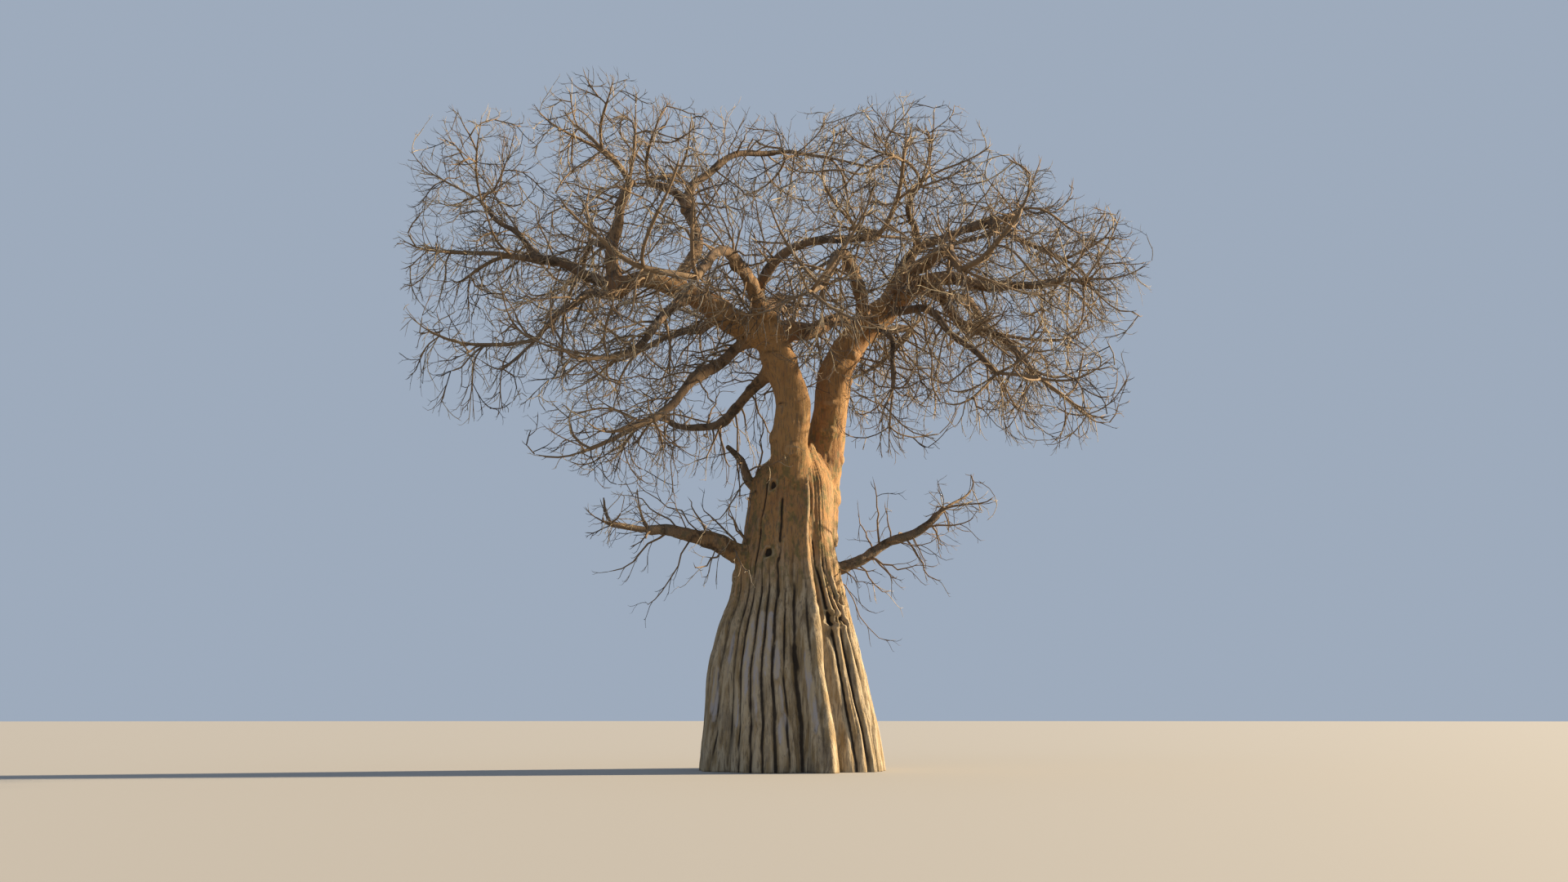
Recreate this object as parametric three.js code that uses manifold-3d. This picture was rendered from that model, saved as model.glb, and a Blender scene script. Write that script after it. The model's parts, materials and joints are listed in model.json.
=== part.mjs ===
// A bare baobab rooted in the ground: a fluted trunk that flares to its foot and forks into two
// stems, the crooked boughs of its crown, and a mass of twigs at the end of each bough.
// Millimetres, +Z up. The origin is the middle of the flat cut at ground level. The fork shows
// from -Y, with +X to the right. Azimuths turn from +X towards +Y.

import * as THREE from "three";
import { mergeVertices } from "three/addons/utils/BufferGeometryUtils.js";
import Module from "manifold-3d";

const wasm = await Module();
wasm.setup();

// Clearances
const GAP = 0.35; // between two pieces that meet
const MERGE_TOLERANCE = 1e-3; // vertices nearer than this are one
const TWIG_CLEARANCE = 40; // from a twig's middle line to the skin of any limb
const SPACE_MARGIN = 0.04; // kept to a neighbouring mass, as a share of the reach

// Trunk
const TRUNK_LEVELS = [0, 450, 1000, 1700, 2500, 3300, 4100, 4900, 5700, 6500, 7400, 8300, 8900, 9250];
// Height of a level, how far its middle lies to +X, and its half width across X and across Y
const TRUNK_SECTIONS = [
  { height: 0, middle: 60, halfX: 2570, halfY: 2480 },
  { height: 1230, middle: 15, halfX: 2390, halfY: 2250 },
  { height: 2650, middle: -105, halfX: 2210, halfY: 2050 },
  { height: 4110, middle: -105, halfX: 1830, halfY: 1720 },
  { height: 4850, middle: -60, halfX: 1580, halfY: 1500 },
  { height: 5600, middle: -95, halfX: 1500, halfY: 1400 },
  { height: 6400, middle: -50, halfX: 1320, halfY: 1250 },
  { height: 7550, middle: 20, halfX: 1220, halfY: 1120 },
  { height: 8310, middle: 70, halfX: 1150, halfY: 940 },
  { height: 8900, middle: 170, halfX: 680, halfY: 480 },
  { height: 9250, middle: 420, halfX: 260, halfY: 220 },
];
// Swellings and grooves of the trunk: azimuth and half width in degrees, height as a share of the radius
const BUTTRESSES = [
  { azimuth: -69, width: 8, height: 0.12 },
  { azimuth: -56, width: 6, height: -0.17 },
  { azimuth: -34, width: 15, height: 0.06 },
  { azimuth: -83, width: 7, height: -0.12 },
  { azimuth: -108, width: 15, height: 0.05 },
  { azimuth: -136, width: 9, height: -0.07 },
  { azimuth: -156, width: 10, height: 0.04 },
  { azimuth: -172, width: 7, height: -0.06 },
  { azimuth: 28, width: 9, height: -0.12 },
  { azimuth: 55, width: 15, height: 0.09 },
  { azimuth: 82, width: 8, height: -0.12 },
  { azimuth: 112, width: 16, height: 0.08 },
  { azimuth: 146, width: 9, height: -0.11 },
];
const BUTTRESS_TOP = 9000; // where the swellings have faded to their least
const BUTTRESS_LEAST = 0.25; // what is left of them there
// Ribs and clefts by turns, in order round the trunk: azimuth at the foot in degrees, how many degrees it
// leans back higher up, and how far it rises at the foot. The trunk's sides meet along these lines.
const FLUTES = [
  [-179, 0, 45], [-172, 0, -60], [-165, 0, 35], [-160, 0, -45], [-154, 0, 45], [-148, 0, -40],
  [-143, 0, 30], [-136, 0, -60], [-130, 0, 40], [-126, 0, -55], [-121, 0, 45], [-116.5, 0, -60],
  [-112, 0, 40], [-108, 0, -55], [-104, 0, 45], [-100, 0, -50], [-96, 0, 35], [-91, 0, -45],
  [-88, 0, 25], [-82, 0, -70], [-75, 0, 30], [-71, 0, -30], [-64, 0, 60], [-56, 0, -60],
  [-49, 4, 40], [-45.5, 5, -70], [-41, 6, 50], [-37, 8, -75], [-32, 11, 55], [-27, 14, -80],
  [-21, 17, 60], [-15, 16, -75], [-8, 13, 50], [-2, 10, -65], [4, 7, 45], [10, 4, -60], [16, 2, 40],
  [28, 0, -60], [37, 0, 40], [42, 0, -45], [47, 0, 35], [53, 0, -50], [60, 0, 55], [66, 0, -50],
  [72, 0, 35], [82, 0, -60], [92, 0, 35], [98, 0, -50], [104, 0, 40], [111, 0, -55], [118, 0, 50],
  [124, 0, -50], [131, 0, 40], [135, 0, -35], [139, 0, 30], [146, 0, -60], [154, 0, 40],
  [160, 0, -50], [167, 0, 40], [174, 0, -45],
];
const FLUTES_FADE = [3600, 6400]; // heights between which they fade to their least
const FLUTES_LEAST = 0.12;
const FLUTES_LEAN = [3200, 5600]; // heights between which they come to lean

// Limbs. A limb leaves the limb it is on at a share of that limb's length and runs to its tip. The bow
// pushes its middle aside and the hook its outer part. radius is at its root and at its tip.
const STEM_SIDES = 12;
const BOUGH_SIDES = 7;
const BOUGH_STEP = 850; // length of one step along a bough
const TAPER_POWER = 0.8; // under 1, a limb thins faster near its root
const COLLAR = 0.35; // how much a limb swells where it leaves its parent, as a share of its radius
const COLLAR_SPAN = 1.3; // how far the swelling runs, in radii
const CROOK = 0.022; // how far a limb wanders from its curve, as a share of its length
const CROOK_TURNS = [7, 11]; // radians that it wanders through, sideways and up, along its length
const CROOK_PHASE = 2.4; // radians from one limb's wandering to the next one's
const DIRECTION_STEP = 0.01; // half the share of a limb that its direction is measured over
const FORK_SHARE = 0.56; // share of each stem's length that is one with the trunk
const FORK_GAP = 0.45; // between that part's flat top and the stem's own piece
const STEMS = {
  left_stem: {
    root: [320, -420, 6300], tip: [-560, -800, 12400],
    bow: [150, -40, 0], hook: [60, 0, 0], radius: [640, 450], collar: 0,
  },
  right_stem: {
    root: [720, 260, 6300], tip: [3150, 560, 13500],
    bow: [-490, 20, 80], hook: [-420, 60, 240], radius: [680, 410], collar: 0,
  },
};
const BOUGHS = {
  left_main: {
    on: "left_stem", at: 0.99, tip: [-4900, -2000, 13150],
    bow: [0, 0, -300], hook: [-100, -200, 950], radius: [400, 200],
  },
  cross: {
    on: "left_stem", at: 0.96, tip: [3700, 5000, 14000],
    bow: [0, 200, 500], hook: [-100, 200, -200], radius: [300, 120],
  },
  center_arch: {
    on: "left_stem", at: 1, tip: [2030, -3900, 14270],
    bow: [-1650, 200, 790], hook: [800, -340, -70], radius: [190, 100],
  },
  front_left: {
    on: "left_stem", at: 1, tip: [-2300, -6100, 12600],
    bow: [100, 100, 900], hook: [-100, -100, 300], radius: [240, 110],
  },
  back_left: {
    on: "left_stem", at: 0.98, tip: [-3700, 4700, 13700],
    bow: [0, -100, 500], hook: [0, 100, -100], radius: [250, 110],
  },
  back_mid: {
    on: "left_stem", at: 1, tip: [200, 5900, 14700],
    bow: [-500, -200, 800], hook: [200, 100, -200], radius: [230, 100],
  },
  left_low: {
    on: "left_stem", at: 0.97, tip: [-3520, -3500, 9350],
    bow: [-500, 290, 400], hook: [320, -190, -190], radius: [210, 110],
  },
  left_curl: {
    on: "left_stem", at: 0.86, tip: [-3620, 2300, 10400],
    bow: [240, -250, -560], hook: [-120, 220, -320], radius: [180, 90],
  },
  left_arch: {
    on: "left_main", at: 0.6, tip: [-3980, 200, 17160],
    bow: [480, 0, 0], hook: [500, 260, 320], radius: [200, 100],
  },
  left_drop: {
    on: "left_main", at: 0.5, tip: [-4500, -4300, 10900],
    bow: [-100, -200, 200], hook: [200, 100, -300], radius: [160, 80],
  },
  left_long: {
    on: "left_main", at: 0.98, tip: [-7400, -2700, 13950],
    bow: [100, 0, 200], hook: [0, 0, 0], radius: [170, 95],
  },
  left_upright: {
    on: "left_main", at: 0.98, tip: [-4600, -2600, 15950],
    bow: [-200, 0, 0], hook: [0, 0, 0], radius: [190, 120],
  },
  left_hang: {
    on: "left_main", at: 0.99, tip: [-6700, -3400, 11600],
    bow: [0, -100, 250], hook: [-100, 0, 100], radius: [130, 75],
  },
  left_rise: {
    on: "left_long", at: 0.85, tip: [-8500, -2300, 15500],
    bow: [100, 0, 100], hook: [-100, 0, -100], radius: [100, 60],
  },
  left_shelf: {
    on: "left_upright", at: 0.45, tip: [-6100, 300, 14700],
    bow: [0, -100, 300], hook: [-100, 0, 0], radius: [120, 70],
  },
  crown_top: {
    on: "left_arch", at: 0.68, tip: [-330, 1900, 18850],
    bow: [-810, 0, 390], hook: [230, 110, 60], radius: [140, 75],
  },
  right_main: {
    on: "right_stem", at: 1, tip: [7200, -1800, 13500],
    bow: [0, -100, 900], hook: [0, 0, -600], radius: [240, 100],
  },
  right_upper: {
    on: "right_stem", at: 0.98, tip: [6500, 1900, 16700],
    bow: [-700, 0, 500], hook: [100, 100, 100], radius: [220, 100],
  },
  front_mid: {
    on: "right_stem", at: 0.85, tip: [900, -6400, 12200],
    bow: [300, 0, 1100], hook: [-200, 0, 300], radius: [210, 105],
  },
  front_right: {
    on: "right_stem", at: 0.99, tip: [4400, -5700, 12800],
    bow: [200, 0, 700], hook: [0, -100, 200], radius: [210, 100],
  },
  back_right: {
    on: "right_stem", at: 1, tip: [6700, 6000, 14200],
    bow: [-100, -100, 700], hook: [0, 0, 0], radius: [210, 100],
  },
  right_mid: {
    on: "right_stem", at: 0.97, tip: [5400, -4000, 10600],
    bow: [0, 0, 400], hook: [0, 0, 0], radius: [150, 75],
  },
  right_hang: {
    on: "right_stem", at: 0.9, tip: [2900, -1200, 10900],
    bow: [350, 100, 300], hook: [-100, -100, 0], radius: [110, 60],
  },
  right_droop: {
    on: "right_main", at: 0.25, tip: [6800, -1300, 11300],
    bow: [-200, 300, -200], hook: [300, 100, 200], radius: [170, 75],
  },
  right_fall: {
    on: "right_upper", at: 0.78, tip: [8400, 2600, 15600],
    bow: [200, -100, 400], hook: [-200, 100, -200], radius: [110, 65],
  },
  right_up: {
    on: "right_upper", at: 0.45, tip: [3700, -700, 16700],
    bow: [0, 100, 100], hook: [-200, 0, 0], radius: [125, 75],
  },
  left_foot: {
    on: "trunk", root: [-700, -250, 5900], tip: [-3500, -1900, 6500],
    bow: [0, 0, -150], hook: [0, 0, 200], radius: [330, 140],
  },
  right_foot: {
    on: "trunk", root: [700, 150, 5000], tip: [4300, 700, 7300],
    bow: [-200, -100, 300], hook: [200, 0, -300], radius: [210, 85],
  },
  left_shoulder: {
    on: "trunk", root: [-650, -150, 7500], tip: [-1750, -700, 9000],
    bow: [-150, 100, -100], hook: [200, 0, 100], radius: [190, 80],
  },
};

// Masses of twigs, one at the tip of the bough of the same name. Each keeps to an ellipsoid with this
// middle and reach, and there to the part that lies nearer to its own middle than to any other.
const MASSES = {
  left_long: { middle: [-8900, -2900, 13900], reach: [2050, 2600, 1900] },
  left_rise: { middle: [-8600, -2200, 16400], reach: [2350, 2700, 2000] },
  left_upright: { middle: [-5200, -3000, 17100], reach: [2400, 2800, 2100] },
  left_shelf: { middle: [-7000, 1700, 15000], reach: [2700, 2900, 2500] },
  left_arch: { middle: [-3800, 700, 18150], reach: [2600, 2900, 1800] },
  crown_top: { middle: [500, 2000, 18250], reach: [3000, 3100, 1850] },
  left_hang: { middle: [-8200, -3800, 11300], reach: [2300, 2500, 2200] },
  left_drop: { middle: [-5300, -5300, 10900], reach: [2400, 2500, 2200] },
  left_low: { middle: [-4700, -4000, 9000], reach: [2400, 2300, 1500] },
  left_curl: { middle: [-4700, 3500, 10200], reach: [2900, 2700, 1900] },
  front_left: { middle: [-3300, -7500, 13000], reach: [2900, 2500, 2500] },
  front_mid: { middle: [800, -7600, 12200], reach: [2500, 2400, 2700] },
  center_arch: { middle: [2300, -4300, 15400], reach: [2800, 2800, 2100] },
  front_right: { middle: [5100, -6700, 13100], reach: [2700, 2600, 2400] },
  back_left: { middle: [-5400, 6000, 13900], reach: [3000, 3000, 2600] },
  back_mid: { middle: [-600, 7200, 15000], reach: [3000, 2700, 2700] },
  cross: { middle: [3400, 7300, 13700], reach: [2900, 2800, 2700] },
  back_right: { middle: [7500, 6000, 13700], reach: [2700, 2900, 2500] },
  right_upper: { middle: [6200, 2800, 16900], reach: [2800, 2900, 1700] },
  right_fall: { middle: [8600, 1900, 14800], reach: [1950, 2700, 2400] },
  right_up: { middle: [3300, -900, 17500], reach: [2700, 2700, 1800] },
  right_main: { middle: [8100, -2400, 13500], reach: [2000, 2700, 2200] },
  right_droop: { middle: [7800, -700, 10900], reach: [2100, 2400, 2100] },
  right_mid: { middle: [6000, -5000, 10100], reach: [2500, 2400, 1900] },
  right_hang: { middle: [3000, -1700, 10100], reach: [1900, 2000, 1700] },
  left_foot: { middle: [-4500, -2500, 6700], reach: [1300, 1200, 900] },
  right_foot: { middle: [4900, 800, 7700], reach: [1100, 1100, 1000] },
};

// Twigs of a mass
const RIM_TWIGS = 13; // twigs that reach its rim
const INNER_TWIGS = 5; // twigs that fill its inside
const RIM_OUT = [0.93, 0.99]; // how far out the tips of the rim's twigs lie, as shares of the reach
const INNER_OUT = [0.45, 0.75];
const GOLDEN_TURN = 2.39996; // radians from one tip to the next
const TURN_JITTER = 0.6;
const FIRST_SEED = 4000;
const SEED_STEP = 17;
const BARE_STEM = 260; // the foot of a mass's stem, which bears no twig
const STEM_OF_MASS_SIDES = 6;
const TWIG_SIDES = 3;
const TWIG_STEP = 1300; // length of one step along a twig
const TWIG_MOST_STEPS = 3;
const TWIG_SHORTEST = 350;
const TWIG_TIP_RADIUS = 13;
const TRIES = 4; // joints that a twig tries to leave from before it is left out
const PATH_WEIGHT = 0.22; // how strongly a twig prefers to leave near the foot of its mass
const TURN_WEIGHT = 0.5; // and to leave in the direction that its parent runs
const START_BLEND = 0.55; // from its parent's direction, 0, to straight at its tip, 1
const START_PULL = 0.4; // lengths of the curve's two handles, as shares of the twig's span
const FINISH_PULL = 0.35;
const UPTURN = 0.75; // how strongly the tips turn up
const TWIG_TESTS = 4; // places on each step of a twig where its space and clearance are tested
const LIMB_TEST_STEP = 350; // length of the straight pieces that stand for a limb in that test
const TRUNK_BERTH = 1.1; // twigs keep out of the trunk's half width times this
const TRUNK_BERTH_TOP = 9550;

const Z_AXIS = new THREE.Vector3(0, 0, 1);
const vector = ([x, y, z]) => new THREE.Vector3(x, y, z);
const degrees = (value) => (value * Math.PI) / 180;
const mix = THREE.MathUtils.lerp;

// A repeatable stream of numbers from 0 to 1.
function randomFrom(seed) {
  let state = seed >>> 0;
  return () => {
    state = (state + 0x6d2b79f5) >>> 0;
    let mixed = Math.imul(state ^ (state >>> 15), state | 1);
    mixed ^= mixed + Math.imul(mixed ^ (mixed >>> 7), mixed | 61);
    return ((mixed ^ (mixed >>> 14)) >>> 0) / 4294967296;
  };
}

// A closed geometry as a manifold solid.
function solidFrom(geometry) {
  geometry.deleteAttribute("normal");
  geometry.deleteAttribute("uv");
  const merged = mergeVertices(geometry, MERGE_TOLERANCE);
  return new wasm.Manifold(
    new wasm.Mesh({
      numProp: 3,
      vertProperties: new Float32Array(merged.attributes.position.array),
      triVerts: new Uint32Array(merged.index.array),
    }),
  );
}

// A manifold solid as a geometry.
function geometryFrom(solid) {
  const mesh = solid.getMesh();
  const geometry = new THREE.BufferGeometry();
  geometry.setAttribute("position", new THREE.BufferAttribute(mesh.vertProperties, 3));
  geometry.setIndex(new THREE.BufferAttribute(mesh.triVerts, 1));
  geometry.computeVertexNormals();
  return geometry;
}

// The largest of the bodies that a cut leaves.
function largestBody(solid) {
  return solid.decompose().reduce((best, body) => (body.volume() > best.volume() ? body : best));
}

// Lays a unit cylinder or cone along points, with a radius at each point.
function layAlong(unit, points, radii, directions = directionsAlong(points)) {
  const steps = points.length - 1;
  const frames = framesAlong(directions);
  const position = unit.attributes.position;
  for (let i = 0; i < position.count; i += 1) {
    const ring = Math.round((position.getY(i) + 0.5) * steps);
    const [sideways, upwards] = [position.getX(i), position.getZ(i)];
    const size = Math.hypot(sideways, upwards);
    const scale = size > 1e-6 ? radii[ring] / size : 0;
    const place = points[ring].clone();
    place.addScaledVector(frames[ring].normal, sideways * scale);
    place.addScaledVector(frames[ring].binormal, upwards * scale);
    position.setXYZ(i, place.x, place.y, place.z);
  }
  return solidFrom(unit);
}

function directionsAlong(points) {
  const last = points.length - 1;
  return points.map((_, i) =>
    points[Math.min(i + 1, last)].clone().sub(points[Math.max(i - 1, 0)]).normalize(),
  );
}

// Frames that turn with the directions of a line but don't twist about it.
function framesAlong(directions) {
  let normal = null;
  return directions.map((tangent) => {
    if (!normal) {
      const side = Math.abs(tangent.z) < 0.9 ? Z_AXIS : new THREE.Vector3(1, 0, 0);
      normal = new THREE.Vector3().crossVectors(side, tangent).normalize();
    }
    normal = normal.clone().addScaledVector(tangent, -normal.dot(tangent)).normalize();
    return { normal, binormal: new THREE.Vector3().crossVectors(normal, tangent) };
  });
}

const limbSolid = (points, radii, sides, directions) =>
  layAlong(new THREE.CylinderGeometry(1, 1, 1, sides, points.length - 1), points, radii, directions);
const twigSolid = (points, radii) =>
  layAlong(new THREE.ConeGeometry(1, 1, TWIG_SIDES, points.length - 1), points, radii);

// The line of a limb, which bows, hooks and wanders between its root and its tip.
class Limb {
  constructor(spec, index, parent) {
    this.root = spec.root ? vector(spec.root) : parent.point(spec.at);
    this.tip = vector(spec.tip);
    this.bow = vector(spec.bow);
    this.hook = vector(spec.hook);
    this.radii = spec.radius;
    this.collar = spec.collar ?? COLLAR;
    this.length = this.root.distanceTo(this.tip);
    this.buried = parent ? parent.radius(spec.at) : 0;
    const along = this.tip.clone().sub(this.root).normalize();
    this.side = new THREE.Vector3().crossVectors(along, new THREE.Vector3(0.3, 0.2, 1)).normalize();
    this.lift = new THREE.Vector3().crossVectors(this.side, along);
    this.phase = index * CROOK_PHASE;
  }

  // The bow is fullest at the middle and the hook at two thirds, where their factors are 1.
  point(share) {
    const swing = CROOK * this.length * Math.sin(Math.PI * share);
    const [sideTurn, liftTurn] = CROOK_TURNS.map((turns, i) => turns * share + (i + 1) * this.phase);
    return this.root
      .clone()
      .lerp(this.tip, share)
      .addScaledVector(this.bow, 4 * share * (1 - share))
      .addScaledVector(this.hook, 6.75 * share * share * (1 - share))
      .addScaledVector(this.side, swing * Math.sin(sideTurn))
      .addScaledVector(this.lift, swing * Math.sin(liftTurn));
  }

  radius(share) {
    const [thick, thin] = this.radii;
    const out = Math.max(0, share * this.length - this.buried);
    const swelling = this.collar * thick * Math.exp(-out / (COLLAR_SPAN * thick));
    return mix(thick, thin, share ** TAPER_POWER) + swelling;
  }

  direction(share) {
    const ahead = this.point(Math.min(1, share + DIRECTION_STEP));
    return ahead.sub(this.point(Math.max(0, share - DIRECTION_STEP))).normalize();
  }

  // The limb between two shares of its length, with its skin and its ends moved out by grow.
  solid(from, to, sides, grow = 0) {
    const steps = Math.max(3, Math.round(((to - from) * this.length) / BOUGH_STEP));
    const shares = Array.from({ length: steps + 1 }, (_, i) => mix(from, to, i / steps));
    const points = shares.map((share) => this.point(share));
    const directions = shares.map((share) => this.direction(share));
    points[0].addScaledVector(directions[0], -grow);
    points[steps].addScaledVector(directions[steps], grow);
    return limbSolid(points, shares.map((share) => this.radius(share) + grow), sides, directions);
  }
}

// A value of the trunk's sections at a height.
function sectionAt(height, key) {
  const above = TRUNK_SECTIONS.findIndex((section) => section.height >= height);
  const upper = TRUNK_SECTIONS[above];
  const lower = TRUNK_SECTIONS[Math.max(above - 1, 0)];
  const span = upper.height - lower.height;
  return span ? mix(lower[key], upper[key], (height - lower.height) / span) : upper[key];
}

// How far a swelling or groove moves the trunk's skin, as a share of its radius.
function buttressAt(azimuth, height) {
  const fade = mix(1, BUTTRESS_LEAST, Math.min(1, height / BUTTRESS_TOP));
  return BUTTRESSES.reduce((sum, buttress) => {
    const turn = azimuth - degrees(buttress.azimuth);
    const apart = Math.atan2(Math.sin(turn), Math.cos(turn)) / degrees(buttress.width);
    return sum + fade * buttress.height * Math.exp(-apart * apart);
  }, 0);
}

// A point of the trunk's skin on one of its flutes.
function trunkPoint([foot, lean, rise], height, grow) {
  const azimuth = degrees(foot - lean * THREE.MathUtils.smoothstep(height, ...FLUTES_LEAN));
  const swell = 1 + buttressAt(azimuth, height);
  const fade = mix(1, FLUTES_LEAST, THREE.MathUtils.smoothstep(height, ...FLUTES_FADE));
  const out = rise * fade + grow;
  return new THREE.Vector3(
    sectionAt(height, "middle") + Math.cos(azimuth) * (sectionAt(height, "halfX") * swell + out),
    Math.sin(azimuth) * (sectionAt(height, "halfY") * swell + out),
    height,
  );
}

// The trunk up to its fork: a lofted body with the lower parts of both stems grown into it.
function trunkSolid(stems, grow = 0) {
  const levels = TRUNK_LEVELS.length - 1;
  const sides = FLUTES.length;
  const unit = new THREE.CylinderGeometry(1, 1, 1, sides, levels);
  const position = unit.attributes.position;
  for (let i = 0; i < position.count; i += 1) {
    const level = Math.round((position.getY(i) + 0.5) * levels);
    const height = TRUNK_LEVELS[level];
    const [x, z] = [position.getX(i), position.getZ(i)];
    const onAxis = Math.hypot(x, z) < 0.5;
    const side = Math.round((Math.atan2(x, z) / (2 * Math.PI) + 1) * sides) % sides;
    const place = onAxis
      ? new THREE.Vector3(sectionAt(height, "middle"), 0, height)
      : trunkPoint(FLUTES[side], height, grow);
    position.setXYZ(i, place.x, place.y, level === levels ? height + grow : height);
  }
  const body = solidFrom(unit);
  const forks = stems.map((stem) => stem.solid(0, FORK_SHARE, STEM_SIDES, grow));
  return wasm.Manifold.union([body, ...forks]);
}

// Limbs in order, each cut clear of the trunk and of the limbs before it.
const limbs = {};
const limbSolids = {};
const obstacles = [];

function keepLimb(name, limb, solid, grown) {
  const clear = obstacles.reduce((left, obstacle) => left.subtract(obstacle), solid);
  limbs[name] = limb;
  limbSolids[name] = largestBody(clear);
  obstacles.push(grown);
}

const stems = Object.values(STEMS).map((spec, index) => new Limb(spec, index, null));
limbSolids.trunk = trunkSolid(stems);
obstacles.push(trunkSolid(stems, GAP));
Object.keys(STEMS).forEach((name, index) => {
  const stem = stems[index];
  const start = FORK_SHARE + FORK_GAP / stem.length;
  keepLimb(name, stem, stem.solid(start, 1, STEM_SIDES), stem.solid(start, 1, STEM_SIDES, GAP));
});
Object.entries(BOUGHS).forEach(([name, spec], index) => {
  const limb = new Limb(spec, index + stems.length, limbs[spec.on]);
  keepLimb(name, limb, limb.solid(0, 1, BOUGH_SIDES), limb.solid(0, 1, BOUGH_SIDES, GAP));
});

// Short straight pieces of every limb and of the foot of every mass, for keeping twigs away from them.
function piecesOf(name) {
  const limb = limbs[name];
  const steps = Math.ceil(limb.length / LIMB_TEST_STEP);
  return Array.from({ length: steps }, (_, i) => {
    const [from, to] = [i / steps, (i + 1) / steps];
    return {
      line: new THREE.Line3(limb.point(from), limb.point(to)),
      radius: Math.max(limb.radius(from), limb.radius(to)),
    };
  });
}

function footOf(name) {
  const limb = limbs[name];
  const top = limb.tip.clone().addScaledVector(limb.direction(1), BARE_STEM);
  return { owner: name, line: new THREE.Line3(limb.tip, top), radius: limb.radius(1) };
}

const limbPieces = Object.keys(limbs).flatMap(piecesOf);
const feet = Object.keys(MASSES).map(footOf);

function isInTrunk(point) {
  if (point.z > TRUNK_BERTH_TOP) return false;
  const height = THREE.MathUtils.clamp(point.z, 0, TRUNK_SECTIONS.at(-1).height);
  const apart = Math.hypot(point.x - sectionAt(height, "middle"), point.y);
  return apart < TRUNK_BERTH * sectionAt(height, "halfX") + TWIG_CLEARANCE;
}

// Whether a point of a mass's twigs is clear of the trunk, of every limb and of the other masses' feet.
function isClear(point, own) {
  const closest = new THREE.Vector3();
  const isApart = ({ line, radius }) => {
    line.closestPointToPoint(point, true, closest);
    return closest.distanceTo(point) > radius + TWIG_CLEARANCE;
  };
  return (
    !isInTrunk(point) &&
    limbPieces.every(isApart) &&
    feet.filter((foot) => foot.owner !== own).every(isApart)
  );
}

// How far out a point lies in a mass's ellipsoid, from 0 at its middle to 1 at its rim.
function outness(point, { middle, reach }) {
  const shares = point.toArray().map((value, axis) => (value - middle[axis]) / reach[axis]);
  return Math.hypot(...shares);
}

function isInSpace(point, own) {
  const out = outness(point, MASSES[own]);
  const others = Object.keys(MASSES).filter((name) => name !== own);
  return out < 1 && others.every((name) => outness(point, MASSES[name]) > out + SPACE_MARGIN);
}

// Points for the twigs of a mass to grow to, spread evenly on its rim or inside it.
function tipsOf(name, count, [least, most], random) {
  const { middle, reach } = MASSES[name];
  return Array.from({ length: count }, (_, i) => {
    const rise = 1 - (2 * (i + 0.5)) / count;
    const turn = i * GOLDEN_TURN + random() * TURN_JITTER;
    const out = mix(least, most, random());
    const flat = Math.sqrt(1 - rise * rise);
    const spread = [flat * Math.cos(turn), flat * Math.sin(turn), rise];
    return vector(spread.map((value, axis) => middle[axis] + value * reach[axis] * out));
  });
}

// A twig's line: it leaves in the direction of its parent and turns up at its tip.
function twigLine(from, direction, tip) {
  const span = from.distanceTo(tip);
  const towards = tip.clone().sub(from).normalize();
  const start = direction.clone().lerp(towards, START_BLEND).normalize();
  const finish = towards.clone().addScaledVector(Z_AXIS, UPTURN).normalize();
  const curve = new THREE.CubicBezierCurve3(
    from,
    from.clone().addScaledVector(start, span * START_PULL),
    tip.clone().addScaledVector(finish, -span * FINISH_PULL),
    tip,
  );
  return curve.getPoints(THREE.MathUtils.clamp(Math.round(span / TWIG_STEP), 1, TWIG_MOST_STEPS));
}

// Whether a twig's line keeps to the space of its mass and stays clear of the limbs.
function isFree(line, name) {
  return line.slice(1).every((point, i) =>
    Array.from({ length: TWIG_TESTS }, (_, test) =>
      line[i].clone().lerp(point, (test + 1) / TWIG_TESTS),
    ).every((place) => isInSpace(place, name) && isClear(place, name)),
  );
}

// What it costs a twig to leave from a joint: its own length, its turn, and the way to the joint.
function costOf(joint, tip) {
  const towards = tip.clone().sub(joint.point);
  const turn = towards.angleTo(joint.direction) / Math.PI;
  return towards.length() * (1 + TURN_WEIGHT * turn) + PATH_WEIGHT * joint.path;
}

// Adds a twig's joints to its mass. A twig is the list of its joints, from the one it leaves.
function addTwig(mass, start, line) {
  const twig = [start];
  for (let i = 1; i < line.length; i += 1) {
    const parent = twig.at(-1);
    const step = line[i].clone().sub(line[i - 1]);
    const path = parent.path + step.length();
    twig.push({ point: line[i], direction: step.normalize(), parent, path, tips: 0 });
  }
  mass.joints.push(...twig.slice(1));
  mass.twigs.push(twig);
  for (let joint = twig.at(-1); joint; joint = joint.parent) joint.tips += 1;
}

// Grows the twigs of a mass from its stem, those that reach furthest first. A twig that would leave
// the space of its mass or come near a limb is left out.
function growTwigs(name, random) {
  const limb = limbs[name];
  const direction = limb.direction(1);
  const foot = { point: limb.tip.clone().addScaledVector(direction, GAP), direction, path: 0, tips: 0 };
  const top = { ...foot, point: footOf(name).line.end, parent: foot, path: BARE_STEM };
  const mass = { stem: [foot, top], joints: [top], twigs: [] };
  const rim = tipsOf(name, RIM_TWIGS, RIM_OUT, random);
  const inner = tipsOf(name, INNER_TWIGS, INNER_OUT, random);
  const tips = [...rim, ...inner].sort((a, b) => b.distanceTo(foot.point) - a.distanceTo(foot.point));
  for (const tip of tips) {
    const ranked = mass.joints
      .filter((joint) => joint.point.distanceTo(tip) > TWIG_SHORTEST)
      .sort((a, b) => costOf(a, tip) - costOf(b, tip));
    for (const joint of ranked.slice(0, TRIES)) {
      const line = twigLine(joint.point, joint.direction, tip);
      if (!isFree(line, name)) continue;
      addTwig(mass, joint, line);
      break;
    }
  }
  return mass;
}

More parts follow.
